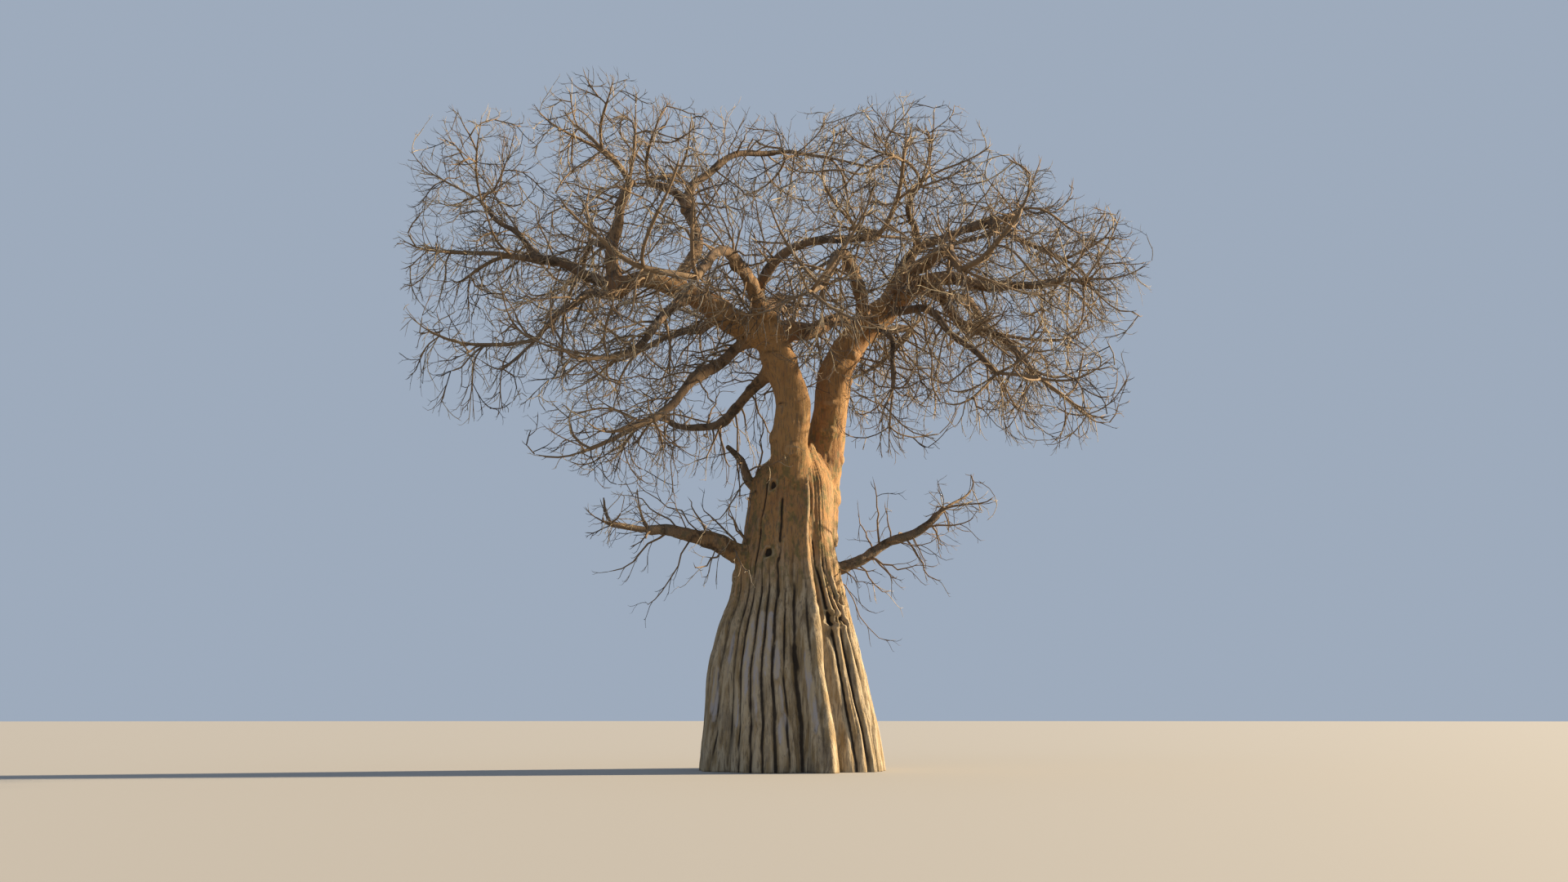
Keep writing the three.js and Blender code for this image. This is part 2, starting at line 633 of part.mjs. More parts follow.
// The solid of a mass. A joint is the thicker the more tips it carries, up to the tip of the bough.
function massSolid(name, index) {
  const mass = growTwigs(name, randomFrom(FIRST_SEED + SEED_STEP * index));
  const [foot, top] = mass.stem;
  const power = Math.log(limbs[name].radius(1) / TWIG_TIP_RADIUS) / Math.log(foot.tips);
  const radiusOf = (joint) => TWIG_TIP_RADIUS * joint.tips ** power;
  const stem = limbSolid([foot.point, top.point], [radiusOf(foot), radiusOf(top)], STEM_OF_MASS_SIDES);
  const twigs = mass.twigs.map((twig) => {
    const radii = twig.map((joint, i) => radiusOf(i ? joint : twig[1]));
    return twigSolid(twig.map((joint) => joint.point), radii);
  });
  return largestBody(wasm.Manifold.union([stem, ...twigs]));
}

const tree = new THREE.Group();
tree.name = "baobab_tree";
const barkMaterial = new THREE.MeshStandardMaterial({ color: 0x9c7b55, roughness: 0.9, metalness: 0 });
const boughMaterial = new THREE.MeshStandardMaterial({ color: 0x94714b, roughness: 0.9, metalness: 0 });
const twigMaterial = new THREE.MeshStandardMaterial({ color: 0x7a6a58, roughness: 0.9, metalness: 0 });

function addNode(name, solid, material) {
  const mesh = new THREE.Mesh(geometryFrom(solid), material);
  mesh.name = name;
  tree.add(mesh);
}

Object.entries(limbSolids).forEach(([name, solid]) => {
  const isBough = name in BOUGHS;
  addNode(isBough ? "bough_" + name : name, solid, isBough ? boughMaterial : barkMaterial);
});
Object.keys(MASSES).forEach((name, index) => {
  addNode("twigs_" + name, massSolid(name, index), twigMaterial);
});

export default tree;
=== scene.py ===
"""A bare baobab: its fluted bark, its crooked boughs and the twigs that grow on from them.

Metres, +Z up. The origin is the middle of the foot at ground level, the fork shows from -Y, and
azimuths turn from +X towards +Y. The limbs and the first twigs follow the same curves and the same
seeded rule as the solids that they replace, and finer twigs grow on from there.
"""

import json
import math

import bpy
import bmesh
import numpy as np
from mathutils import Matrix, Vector

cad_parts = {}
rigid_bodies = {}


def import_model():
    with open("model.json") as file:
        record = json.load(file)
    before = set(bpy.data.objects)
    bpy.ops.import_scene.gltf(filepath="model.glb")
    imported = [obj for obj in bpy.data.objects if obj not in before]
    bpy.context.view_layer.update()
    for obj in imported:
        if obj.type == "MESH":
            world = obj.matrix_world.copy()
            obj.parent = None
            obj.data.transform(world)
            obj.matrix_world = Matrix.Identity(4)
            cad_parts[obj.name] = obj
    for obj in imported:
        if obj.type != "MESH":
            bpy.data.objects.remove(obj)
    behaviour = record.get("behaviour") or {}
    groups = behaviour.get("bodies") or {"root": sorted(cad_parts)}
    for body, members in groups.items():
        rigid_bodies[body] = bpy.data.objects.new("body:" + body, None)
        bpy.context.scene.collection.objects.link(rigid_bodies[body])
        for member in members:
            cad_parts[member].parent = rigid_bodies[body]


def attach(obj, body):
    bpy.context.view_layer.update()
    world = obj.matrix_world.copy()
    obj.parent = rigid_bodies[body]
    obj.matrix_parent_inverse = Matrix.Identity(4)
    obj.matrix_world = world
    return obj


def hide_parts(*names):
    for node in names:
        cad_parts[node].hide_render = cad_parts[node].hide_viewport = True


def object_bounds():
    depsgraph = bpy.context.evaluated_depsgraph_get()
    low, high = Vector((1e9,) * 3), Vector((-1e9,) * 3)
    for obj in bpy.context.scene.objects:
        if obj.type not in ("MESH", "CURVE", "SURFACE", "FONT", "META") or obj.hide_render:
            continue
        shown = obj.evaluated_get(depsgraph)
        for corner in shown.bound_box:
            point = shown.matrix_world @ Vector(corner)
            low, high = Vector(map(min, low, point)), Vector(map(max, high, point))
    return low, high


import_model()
CAD_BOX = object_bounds()
CAD_LOWEST, CAD_HIGHEST = (np.array(corner) for corner in CAD_BOX)

TAU = 2 * math.pi
UP = np.array((0.0, 0.0, 1.0))
BODY = "root"

# Trunk: height of a level, how far its middle lies to +X, and its half width across X and across Y
TRUNK_SECTIONS = np.array((
    (0, 0.06, 2.57, 2.48),
    (1.23, 0.015, 2.39, 2.25),
    (2.65, -0.105, 2.21, 2.05),
    (4.11, -0.105, 1.83, 1.72),
    (4.85, -0.06, 1.58, 1.5),
    (5.6, -0.095, 1.5, 1.4),
    (6.4, -0.05, 1.32, 1.25),
    (7.55, 0.02, 1.22, 1.12),
    (8.31, 0.07, 1.15, 0.94),
    (8.9, 0.17, 0.68, 0.48),
    (9.25, 0.42, 0.26, 0.22),
))
SECTION_SOFTNESS = 0.35  # the profile's corners are rounded over this much height, up and down
# Swellings and grooves: azimuth and half width in degrees, height as a share of the radius
BUTTRESSES = (
    (-69, 8, 0.12), (-56, 6, -0.17), (-34, 15, 0.06), (-83, 7, -0.12), (-108, 15, 0.05),
    (-136, 9, -0.07), (-156, 10, 0.04), (-172, 7, -0.06), (28, 9, -0.12), (55, 15, 0.09),
    (82, 8, -0.12), (112, 16, 0.08), (146, 9, -0.11),
)
BUTTRESS_TOP = 9.0  # height at which swellings have faded
BUTTRESS_LEAST = 0.25  # to this share
# Ribs and clefts by turns: azimuth at the foot, how far it leans back higher up, and its rise
FLUTES = np.array((
    (-179, 0, 0.045), (-172, 0, -0.06), (-165, 0, 0.035), (-160, 0, -0.045), (-154, 0, 0.045),
    (-148, 0, -0.04), (-143, 0, 0.03), (-136, 0, -0.06), (-130, 0, 0.04), (-126, 0, -0.055),
    (-121, 0, 0.045), (-116.5, 0, -0.06), (-112, 0, 0.04), (-108, 0, -0.055), (-104, 0, 0.045),
    (-100, 0, -0.05), (-96, 0, 0.035), (-91, 0, -0.045), (-88, 0, 0.025), (-82, 0, -0.07),
    (-75, 0, 0.03), (-71, 0, -0.03), (-64, 0, 0.06), (-56, 0, -0.06), (-49, 4, 0.04),
    (-45.5, 5, -0.07), (-41, 6, 0.05), (-37, 8, -0.075), (-32, 11, 0.055), (-27, 14, -0.08),
    (-21, 17, 0.06), (-15, 16, -0.075), (-8, 13, 0.05), (-2, 10, -0.065), (4, 7, 0.045),
    (10, 4, -0.06), (16, 2, 0.04), (28, 0, -0.06), (37, 0, 0.04), (42, 0, -0.045), (47, 0, 0.035),
    (53, 0, -0.05), (60, 0, 0.055), (66, 0, -0.05), (72, 0, 0.035), (82, 0, -0.06), (92, 0, 0.035),
    (98, 0, -0.05), (104, 0, 0.04), (111, 0, -0.055), (118, 0, 0.05), (124, 0, -0.05),
    (131, 0, 0.04), (135, 0, -0.035), (139, 0, 0.03), (146, 0, -0.06), (154, 0, 0.04),
    (160, 0, -0.05), (167, 0, 0.04), (174, 0, -0.045),
))
FLUTES_FADE = (3.6, 6.4)  # heights between which they grow shallow,
FLUTES_LEAST = 0.12  # to this share
FLUTES_LEAN = (3.2, 5.6)  # heights between which they lean back

# Limbs: root, tip, bow, hook, and the radius at the root and at the tip
STEMS = {
    "left_stem": ((0.32, -0.42, 6.3), (-0.56, -0.8, 12.4), (0.15, -0.04, 0), (0.06, 0, 0), (0.64, 0.45)),
    "right_stem": (
        (0.72, 0.26, 6.3), (3.15, 0.56, 13.5), (-0.49, 0.02, 0.08), (-0.42, 0.06, 0.24), (0.68, 0.41)),
}
# The same for the boughs, after the limb that each is on and where on it the bough starts
BOUGHS = {
    "left_main": ("left_stem", 0.99, (-4.9, -2, 13.15), (0, 0, -0.3), (-0.1, -0.2, 0.95), (0.4, 0.2)),
    "cross": ("left_stem", 0.96, (3.7, 5, 14), (0, 0.2, 0.5), (-0.1, 0.2, -0.2), (0.3, 0.12)),
    "center_arch": (
        "left_stem", 1, (2.03, -3.9, 14.27), (-1.65, 0.2, 0.79), (0.8, -0.34, -0.07), (0.19, 0.1)),
    "front_left": ("left_stem", 1, (-2.3, -6.1, 12.6), (0.1, 0.1, 0.9), (-0.1, -0.1, 0.3), (0.24, 0.11)),
    "back_left": ("left_stem", 0.98, (-3.7, 4.7, 13.7), (0, -0.1, 0.5), (0, 0.1, -0.1), (0.25, 0.11)),
    "back_mid": ("left_stem", 1, (0.2, 5.9, 14.7), (-0.5, -0.2, 0.8), (0.2, 0.1, -0.2), (0.23, 0.1)),
    "left_low": (
        "left_stem", 0.97, (-3.52, -3.5, 9.35), (-0.5, 0.29, 0.4), (0.32, -0.19, -0.19), (0.21, 0.11)),
    "left_curl": (
        "left_stem", 0.86, (-3.62, 2.3, 10.4), (0.24, -0.25, -0.56), (-0.12, 0.22, -0.32), (0.18, 0.09)),
    "left_arch": ("left_main", 0.6, (-3.98, 0.2, 17.16), (0.48, 0, 0), (0.5, 0.26, 0.32), (0.2, 0.1)),
    "left_drop": ("left_main", 0.5, (-4.5, -4.3, 10.9), (-0.1, -0.2, 0.2), (0.2, 0.1, -0.3), (0.16, 0.08)),
    "left_long": ("left_main", 0.98, (-7.4, -2.7, 13.95), (0.1, 0, 0.2), (0, 0, 0), (0.17, 0.095)),
    "left_upright": ("left_main", 0.98, (-4.6, -2.6, 15.95), (-0.2, 0, 0), (0, 0, 0), (0.19, 0.12)),
    "left_hang": ("left_main", 0.99, (-6.7, -3.4, 11.6), (0, -0.1, 0.25), (-0.1, 0, 0.1), (0.13, 0.075)),
    "left_rise": ("left_long", 0.85, (-8.5, -2.3, 15.5), (0.1, 0, 0.1), (-0.1, 0, -0.1), (0.1, 0.06)),
    "left_shelf": ("left_upright", 0.45, (-6.1, 0.3, 14.7), (0, -0.1, 0.3), (-0.1, 0, 0), (0.12, 0.07)),
    "crown_top": ("left_arch", 0.68, (-0.33, 1.9, 18.85), (-0.81, 0, 0.39), (0.23, 0.11, 0.06), (0.14, 0.075)),
    "right_main": ("right_stem", 1, (7.2, -1.8, 13.5), (0, -0.1, 0.9), (0, 0, -0.6), (0.24, 0.1)),
    "right_upper": ("right_stem", 0.98, (6.5, 1.9, 16.7), (-0.7, 0, 0.5), (0.1, 0.1, 0.1), (0.22, 0.1)),
    "front_mid": ("right_stem", 0.85, (0.9, -6.4, 12.2), (0.3, 0, 1.1), (-0.2, 0, 0.3), (0.21, 0.105)),
    "front_right": ("right_stem", 0.99, (4.4, -5.7, 12.8), (0.2, 0, 0.7), (0, -0.1, 0.2), (0.21, 0.1)),
    "back_right": ("right_stem", 1, (6.7, 6, 14.2), (-0.1, -0.1, 0.7), (0, 0, 0), (0.21, 0.1)),
    "right_mid": ("right_stem", 0.97, (5.4, -4, 10.6), (0, 0, 0.4), (0, 0, 0), (0.15, 0.075)),
    "right_hang": ("right_stem", 0.9, (2.9, -1.2, 10.9), (0.35, 0.1, 0.3), (-0.1, -0.1, 0), (0.11, 0.06)),
    "right_droop": ("right_main", 0.25, (6.8, -1.3, 11.3), (-0.2, 0.3, -0.2), (0.3, 0.1, 0.2), (0.17, 0.075)),
    "right_fall": ("right_upper", 0.78, (8.4, 2.6, 15.6), (0.2, -0.1, 0.4), (-0.2, 0.1, -0.2), (0.11, 0.065)),
    "right_up": ("right_upper", 0.45, (3.7, -0.7, 16.7), (0, 0.1, 0.1), (-0.2, 0, 0), (0.125, 0.075)),
    "left_foot": ("trunk", (-0.7, -0.25, 5.9), (-3.5, -1.9, 6.5), (0, 0, -0.15), (0, 0, 0.2), (0.33, 0.14)),
    "right_foot": ("trunk", (0.7, 0.15, 5), (4.3, 0.7, 7.3), (-0.2, -0.1, 0.3), (0.2, 0, -0.3), (0.21, 0.085)),
    "left_shoulder": (
        "trunk", (-0.65, -0.15, 7.5), (-1.75, -0.7, 9), (-0.15, 0.1, -0.1), (0.2, 0, 0.1), (0.19, 0.08)),
}
TAPER_POWER = 0.8
COLLAR = 0.35  # how much thicker a bough is where it leaves its parent, as a share of its radius
COLLAR_SPAN = 1.3
CROOK = 0.022  # how far a limb swings from side to side, as a share of its length
CROOK_TURNS = (7, 11)
CROOK_PHASE = 2.4
CROOK_ACROSS = np.array((0.3, 0.2, 1.0))
DIRECTION_STEP = 0.01

# Masses of twigs, each at the tip of the bough of the same name: middle and reach
MASSES = {
    "left_long": ((-8.9, -2.9, 13.9), (2.05, 2.6, 1.9)),
    "left_rise": ((-8.6, -2.2, 16.4), (2.35, 2.7, 2)),
    "left_upright": ((-5.2, -3, 17.1), (2.4, 2.8, 2.1)),
    "left_shelf": ((-7, 1.7, 15), (2.7, 2.9, 2.5)),
    "left_arch": ((-3.8, 0.7, 18.15), (2.6, 2.9, 1.8)),
    "crown_top": ((0.5, 2, 18.25), (3, 3.1, 1.85)),
    "left_hang": ((-8.2, -3.8, 11.3), (2.3, 2.5, 2.2)),
    "left_drop": ((-5.3, -5.3, 10.9), (2.4, 2.5, 2.2)),
    "left_low": ((-4.7, -4, 9), (2.4, 2.3, 1.5)),
    "left_curl": ((-4.7, 3.5, 10.2), (2.9, 2.7, 1.9)),
    "front_left": ((-3.3, -7.5, 13), (2.9, 2.5, 2.5)),
    "front_mid": ((0.8, -7.6, 12.2), (2.5, 2.4, 2.7)),
    "center_arch": ((2.3, -4.3, 15.4), (2.8, 2.8, 2.1)),
    "front_right": ((5.1, -6.7, 13.1), (2.7, 2.6, 2.4)),
    "back_left": ((-5.4, 6, 13.9), (3, 3, 2.6)),
    "back_mid": ((-0.6, 7.2, 15), (3, 2.7, 2.7)),
    "cross": ((3.4, 7.3, 13.7), (2.9, 2.8, 2.7)),
    "back_right": ((7.5, 6, 13.7), (2.7, 2.9, 2.5)),
    "right_upper": ((6.2, 2.8, 16.9), (2.8, 2.9, 1.7)),
    "right_fall": ((8.6, 1.9, 14.8), (1.95, 2.7, 2.4)),
    "right_up": ((3.3, -0.9, 17.5), (2.7, 2.7, 1.8)),
    "right_main": ((8.1, -2.4, 13.5), (2, 2.7, 2.2)),
    "right_droop": ((7.8, -0.7, 10.9), (2.1, 2.4, 2.1)),
    "right_mid": ((6, -5, 10.1), (2.5, 2.4, 1.9)),
    "right_hang": ((3, -1.7, 10.1), (1.9, 2, 1.7)),
    "left_foot": ((-4.5, -2.5, 6.7), (1.3, 1.2, 0.9)),
    "right_foot": ((4.9, 0.8, 7.7), (1.1, 1.1, 1)),
}
# The rule of the first twigs, as in the solids
RIM_TWIGS = 13
INNER_TWIGS = 5
RIM_OUT = (0.93, 0.99)
INNER_OUT = (0.45, 0.75)
GOLDEN_TURN = 2.39996
TURN_JITTER = 0.6
FIRST_SEED = 4000
SEED_STEP = 17
SPACE_MARGIN = 0.04
TWIG_CLEARANCE = 0.04
BARE_STEM = 0.26
TWIG_STEP = 1.3
TWIG_MOST_STEPS = 3
TWIG_SHORTEST = 0.35
TRIES = 4
PATH_WEIGHT = 0.22
TURN_WEIGHT = 0.5
START_BLEND = 0.55
START_PULL = 0.4
FINISH_PULL = 0.35
UPTURN = 0.75
TWIG_TESTS = 4
LIMB_TEST_STEP = 0.35
TRUNK_BERTH = 1.1
TRUNK_BERTH_TOP = 9.55
GAP = 0.00035  # between a bough's tip and its mass

# Finer twigs
FINE_STEP = 0.33  # length of one step along a first or second twig, where the next ones may leave
SECOND_TWIGS = 165  # second twigs in a mass of the usual size
SECOND_MOST_STEPS = 5
USUAL_SIZE = 17.5  # product of the reaches of such a mass
SIZE_POWER = 0.75
MOST_JOINTS = 8000  # in one mass
STEM_SUNK = 0.97  # where on its bough the stem of a mass starts
STEM_SHARES = (0.9, 0.96)  # its radius there and at the tip of the bough, as shares of the bough's
STEM_END = 4  # points of its round end
SECOND_SHELLS = ((0.5, (0.8, 1.0)), (0.35, (0.5, 0.8)), (0.15, (0.2, 0.5)))  # share, and how far out
TIP_RADIUS = 0.010
EASE = 0.03  # how far finer twigs may leave the space of their mass, as a share of its reach
NEIGHBOUR_EASE = 3  # and how many times as far into a neighbour's
STRAY = 0.15  # how far they may leave the box of the solids
SHORTENED = 0.5  # what a side twig that meets something is shortened to
OUTWARD = 0.25  # how strongly side twigs sweep away from the trunk
DROOP = 0.6  # and how strongly they, and the twigs of limbs, hang low in the crown
LIMB_TWIG_DROOP = 0.5
SIDE_UPTURN = (0.7, 1.8)
FIRST_SIDE, SIDED_SHARE = 0.12, 0.86  # where side twigs begin on their parent, and over what share
SIDE_JITTER = 0.35  # how far they leave their even places
COUNT_JITTER = 0.4
LONGEST_SHARE = 0.7  # of its parent's length
SHORTER_OUTWARD = (1.15, 0.55)
THINNER, THINNEST = 0.8, 0.6
UNEVENNESS = 0.006
SIDE_TWIG = {"spacing": 0.31, "length": (0.4, 1.3), "lean": (25, 52), "points": 6, "thickest": 0.012}
LAST_TWIG = {"spacing": 0.38, "length": (0.2, 0.55), "lean": (22, 48), "points": 4, "thickest": 0.009}
LIMB_TWIG_STEP = 0.21
LIMB_TWIG_SPAN = (0.25, 0.98)  # from how far out of its parent, to which share of the limb
LIMB_TWIG_LEAN = (0.1, 1.0)  # how far it leans to the limb's tip
LIMB_TWIG_LEAVING = 0.4  # and where it leaves
LIMB_TWIG_LENGTH = (0.7, 2.5)
LIMB_TWIG_RADIUS = (0.016, 0.040)
LIMB_TWIG_POINTS = 8
LIMB_TWIG_UPTURN = (0.5, 1.5)
LIMB_TWIG_UNEVENNESS = 0.015
THICKEST_SHARE = 0.42  # of the radius of its limb
LIMB_TWIG_ROOT = 0.6  # where it starts, as a share of that radius
LIMB_TWIG_TAPER = 0.35
STEM_BARE_SHARE = 0.7
SPUR_STEP = 0.35
SPUR_SPAN = (0.2, 0.99)
SPUR_LEAN = (-0.2, 0.8)
SPUR_LENGTH = (0.06, 0.22)
SPUR_RADII = (0.013, 0.009, 0.0)
SPUR_ROOT = 0.75
SPUR_UPTURN = 0.6
SPRAYS_OF_MASS = 500  # numbers kept for the sprays of one mass
FIRST_LIMB_SPRAY = 20000
FIRST_SPUR_SPRAY = 25000
SPRAYS = 30000

# How limbs and the twigs on them wander together: how far, and in how many hills to the metre
WANDERING = ((0.14, 0.55), (0.03, 1.5))
WANDER_OUT = (1.0, 3.5)  # where it sets in, away from the axis of the trunk,
WANDER_HIGH = (12.5, 15.0)  # and high above the fork,
WANDER_ABOVE = (4.5, 6.0)  # but only above the foot
FORK_MIDDLE = 0.3  # how far the fork lies to +X
CHUNK = 2000  # points measured at once


def unit(vectors):
    """Vectors scaled to a length of 1."""
    length = np.linalg.norm(vectors, axis=-1, keepdims=True)
    return vectors / np.maximum(length, 1e-9)


def smoothstep(low, high, value):
    share = np.clip((value - low) / (high - low), 0, 1)
    return share * share * (3 - 2 * share)


def noise(points, seed):
    """Smooth noise from -1 to 1 at points, with one hill to about two units."""
    cell = np.floor(points).astype(np.int64)
    part = points - cell
    part = part * part * (3 - 2 * part)
    total = np.zeros(len(points))
    for corner in np.ndindex(2, 2, 2):
        key = (cell + corner) @ np.array((73856093, 19349663, 83492791)) + seed * 7919
        key = (key ^ (key >> 13)) * 1274126177 & 0xFFFFFFFF
        key = (key ^ (key >> 16)) * 2246822519 & 0xFFFFFFFF
        weight = np.prod(np.where(corner, part, 1 - part), axis=1)
        total += weight * ((key ^ (key >> 15)) / 2**31 - 1)
    return total


def layered_noise(points, layers, seed):
    return sum(noise(points * 2**i, seed + i) / 2**i for i in range(layers)) / (2 - 2 ** (1 - layers))


def random_from(seed):
    """A repeatable stream of numbers from 0 to 1, the same as in the solids."""
    most = 0xFFFFFFFF
    state = seed & most

    def draw():
        nonlocal state
        state = (state + 0x6D2B79F5) & most
        mixed = (state ^ (state >> 15)) * (state | 1) & most
        mixed ^= (mixed + (mixed ^ (mixed >> 7)) * (mixed | 61)) & most
        return (mixed ^ (mixed >> 14)) / 2**32

    return draw


def turn_apart(azimuth, centre):
    """The angle from centre to azimuth, from -pi to pi."""
    turn = azimuth - centre
    return np.arctan2(np.sin(turn), np.cos(turn))


def crooked(points):
    """Points moved a little aside, smoothly, away from the trunk."""
    out = np.hypot(points[:, 0] - FORK_MIDDLE, points[:, 1])
    share = np.maximum(smoothstep(*WANDER_OUT, out), smoothstep(*WANDER_HIGH, points[:, 2]))
    share = share * smoothstep(*WANDER_ABOVE, points[:, 2])
    move = sum(
        far * np.stack([noise(points * hills, 50 + axis) for axis in range(3)], 1)
        for far, hills in WANDERING
    )
    return points + share[:, None] * move


class Limb:
    """The line of a limb, which bows, hooks and wanders between its root and its tip."""

    def __init__(self, root, tip, bow, hook, radii, index, parent=None, at=0.0, collar=COLLAR):
        self.root, self.tip, self.bow, self.hook = (np.array(v, float) for v in (root, tip, bow, hook))
        self.radii = radii
        self.collar = collar
        self.length = float(np.linalg.norm(self.tip - self.root))
        self.buried = float(parent.radius(at)) if parent else 0.0
        self.along = unit(self.tip - self.root)
        self.side = unit(np.cross(self.along, CROOK_ACROSS))
        self.lift = np.cross(self.side, self.along)
        self.phase = index * CROOK_PHASE

    def point(self, share):
        """The line at shares of it. It lies off the straight by bow halfway, by hook at two thirds."""
        share = np.asarray(share, float)[..., None]
        swing = CROOK * self.length * np.sin(np.pi * share)
        return (
            self.root + (self.tip - self.root) * share
            + self.bow * 4 * share * (1 - share)
            + self.hook * 6.75 * share**2 * (1 - share)
            + self.side * swing * np.sin(CROOK_TURNS[0] * share + self.phase)
            + self.lift * swing * np.sin(CROOK_TURNS[1] * share + 2 * self.phase)
        )

    def radius(self, share):
        share = np.asarray(share, float)
        thick, thin = self.radii
        out = np.maximum(0, share * self.length - self.buried)
        swelling = self.collar * thick * np.exp(-out / (COLLAR_SPAN * thick))
        return thick + (thin - thick) * share**TAPER_POWER + swelling

    def direction(self, share):
        share = np.asarray(share, float)
        ahead = self.point(np.minimum(1, share + DIRECTION_STEP))
        return unit(ahead - self.point(np.maximum(0, share - DIRECTION_STEP)))


def make_limbs():
    limbs = {}
    for index, (name, spec) in enumerate(STEMS.items()):
        limbs[name] = Limb(*spec, index, collar=0.0)
    for index, (name, (parent, at, *spec)) in enumerate(BOUGHS.items()):
        if parent == "trunk":
            limbs[name] = Limb(at, *spec, index + len(STEMS))
        else:
            limbs[name] = Limb(limbs[parent].point(at), *spec, index + len(STEMS), limbs[parent], at)
    return limbs


LIMBS = make_limbs()


def chunks_of(numbers):
    """Numbers in parts that are small enough to be measured against every limb at once."""
    parts = np.array_split(numbers, max(1, len(numbers) // CHUNK))
    return [part for part in parts if len(part)]


def section_at(height):
    """The trunk's middle and its half widths across X and Y at heights."""
    return [np.interp(height, TRUNK_SECTIONS[:, 0], TRUNK_SECTIONS[:, column]) for column in (1, 2, 3)]


def soft_section_at(height):
    """The same with the corners of the profile rounded off."""
    around = np.asarray(height)[..., None] + np.linspace(-SECTION_SOFTNESS, SECTION_SOFTNESS, 9)
    return [values.mean(-1) for values in section_at(around)]


# Meshes

STEEP = 0.85  # a tube that starts steeper than this takes its first ring from X instead of Z


def placed(name, data):
    """A new object in the scene."""
    made = bpy.data.objects.new(name, data)
    bpy.context.scene.collection.objects.link(made)
    return made


def evaluated(made):
    """The mesh of an object after its modifiers."""
    return bpy.data.meshes.new_from_object(made.evaluated_get(bpy.context.evaluated_depsgraph_get()))


def make_mesh(name, vertices, triangles, materials, slots=None):
    """A smooth object of triangles at the origin."""
    mesh = bpy.data.meshes.new(name)
    mesh.vertices.add(len(vertices))
    mesh.vertices.foreach_set("co", vertices.astype(np.float32).ravel())
    mesh.loops.add(triangles.size)
    mesh.loops.foreach_set("vertex_index", triangles.astype(np.int32).ravel())
    mesh.polygons.add(len(triangles))
    mesh.polygons.foreach_set("loop_start", np.arange(0, triangles.size, 3, dtype=np.int32))
    mesh.update(calc_edges=True)
    for material in materials:
        mesh.materials.append(material)
    if slots is not None:
        mesh.polygons.foreach_set("material_index", slots.astype(np.int32))
    mesh.shade_smooth()
    return placed(name, mesh)


def ring_faces(rings, sides):
    """Triangles between rings of points, and the numbers of a ring's points and of those after them."""
    here = np.arange(sides)
    after = (here + 1) % sides
    faces = []
    for low in range(0, (rings - 1) * sides, sides):
        high = low + sides
        faces.append(np.stack((low + here, low + after, high + after), 1))
        faces.append(np.stack((low + here, high + after, high + here), 1))
    return faces, here, after


def tubes(lines, radii, sides):
    """Closed round tubes along lines of the same number of points, each ending in a point."""
    count, points, _ = lines.shape
    rings = points - 1
    tangents = np.empty_like(lines)
    tangents[:, 1:-1] = lines[:, 2:] - lines[:, :-2]
    tangents[:, 0] = lines[:, 1] - lines[:, 0]
    tangents[:, -1] = lines[:, -1] - lines[:, -2]
    tangents = unit(tangents)
    across = np.where(np.abs(tangents[:, 0, 2:]) < STEEP, UP, np.array((1.0, 0.0, 0.0)))
    normal = np.empty_like(lines)
    normal[:, 0] = unit(np.cross(across, tangents[:, 0]))
    for i in range(1, points):
        lean = (normal[:, i - 1] * tangents[:, i]).sum(-1, keepdims=True)
        normal[:, i] = unit(normal[:, i - 1] - tangents[:, i] * lean)
    binormal = np.cross(tangents, normal)
    turn = np.arange(sides) * TAU / sides
    ring = (
        np.cos(turn)[:, None] * normal[:, :rings, None] + np.sin(turn)[:, None] * binormal[:, :rings, None]
    )
    ring = lines[:, :rings, None] + ring * radii[:, :rings, None, None]
    vertices = np.concatenate((ring.reshape(count, rings * sides, 3), lines[:, -1:]), axis=1)
    faces, here, after = ring_faces(rings, sides)
    last = (rings - 1) * sides
    faces.append(np.stack((last + here, last + after, np.full(sides, rings * sides)), 1))
    faces.append(np.stack((np.zeros(sides - 2, int), here[2:], here[1:-1]), 1))
    faces = np.concatenate(faces)
    each = rings * sides + 1
    triangles = faces[None] + (np.arange(count) * each)[:, None, None]
    return vertices.reshape(-1, 3), triangles.reshape(-1, 3), len(faces)


# Bark: the body of the tree before its relief

VOXEL = 0.031
SUNK = 0.3  # how far the loft runs below the ground before it is trimmed there
LOFT_SIDES = 200
LOFT_STEP = 0.12
LIMB_SIDES = 20
LIMB_STEP = 0.16
BLUNTNESS = 0.7  # how far a limb's tip stands out, as a share of its radius
SMOOTHING = (0.55, -0.57)  # a step in and one out, which takes out steps without thinning the limbs
CROTCH_BEND = 0.0014  # an inner corner of the skin that bends more than this is filled
CROTCH_PULL = 0.9
CROTCH_PULLS = 4  # in each round
HOME_STEP = 0.12  # between the points of a limb that the skin's points are measured to
HOME_REACH = 0.4


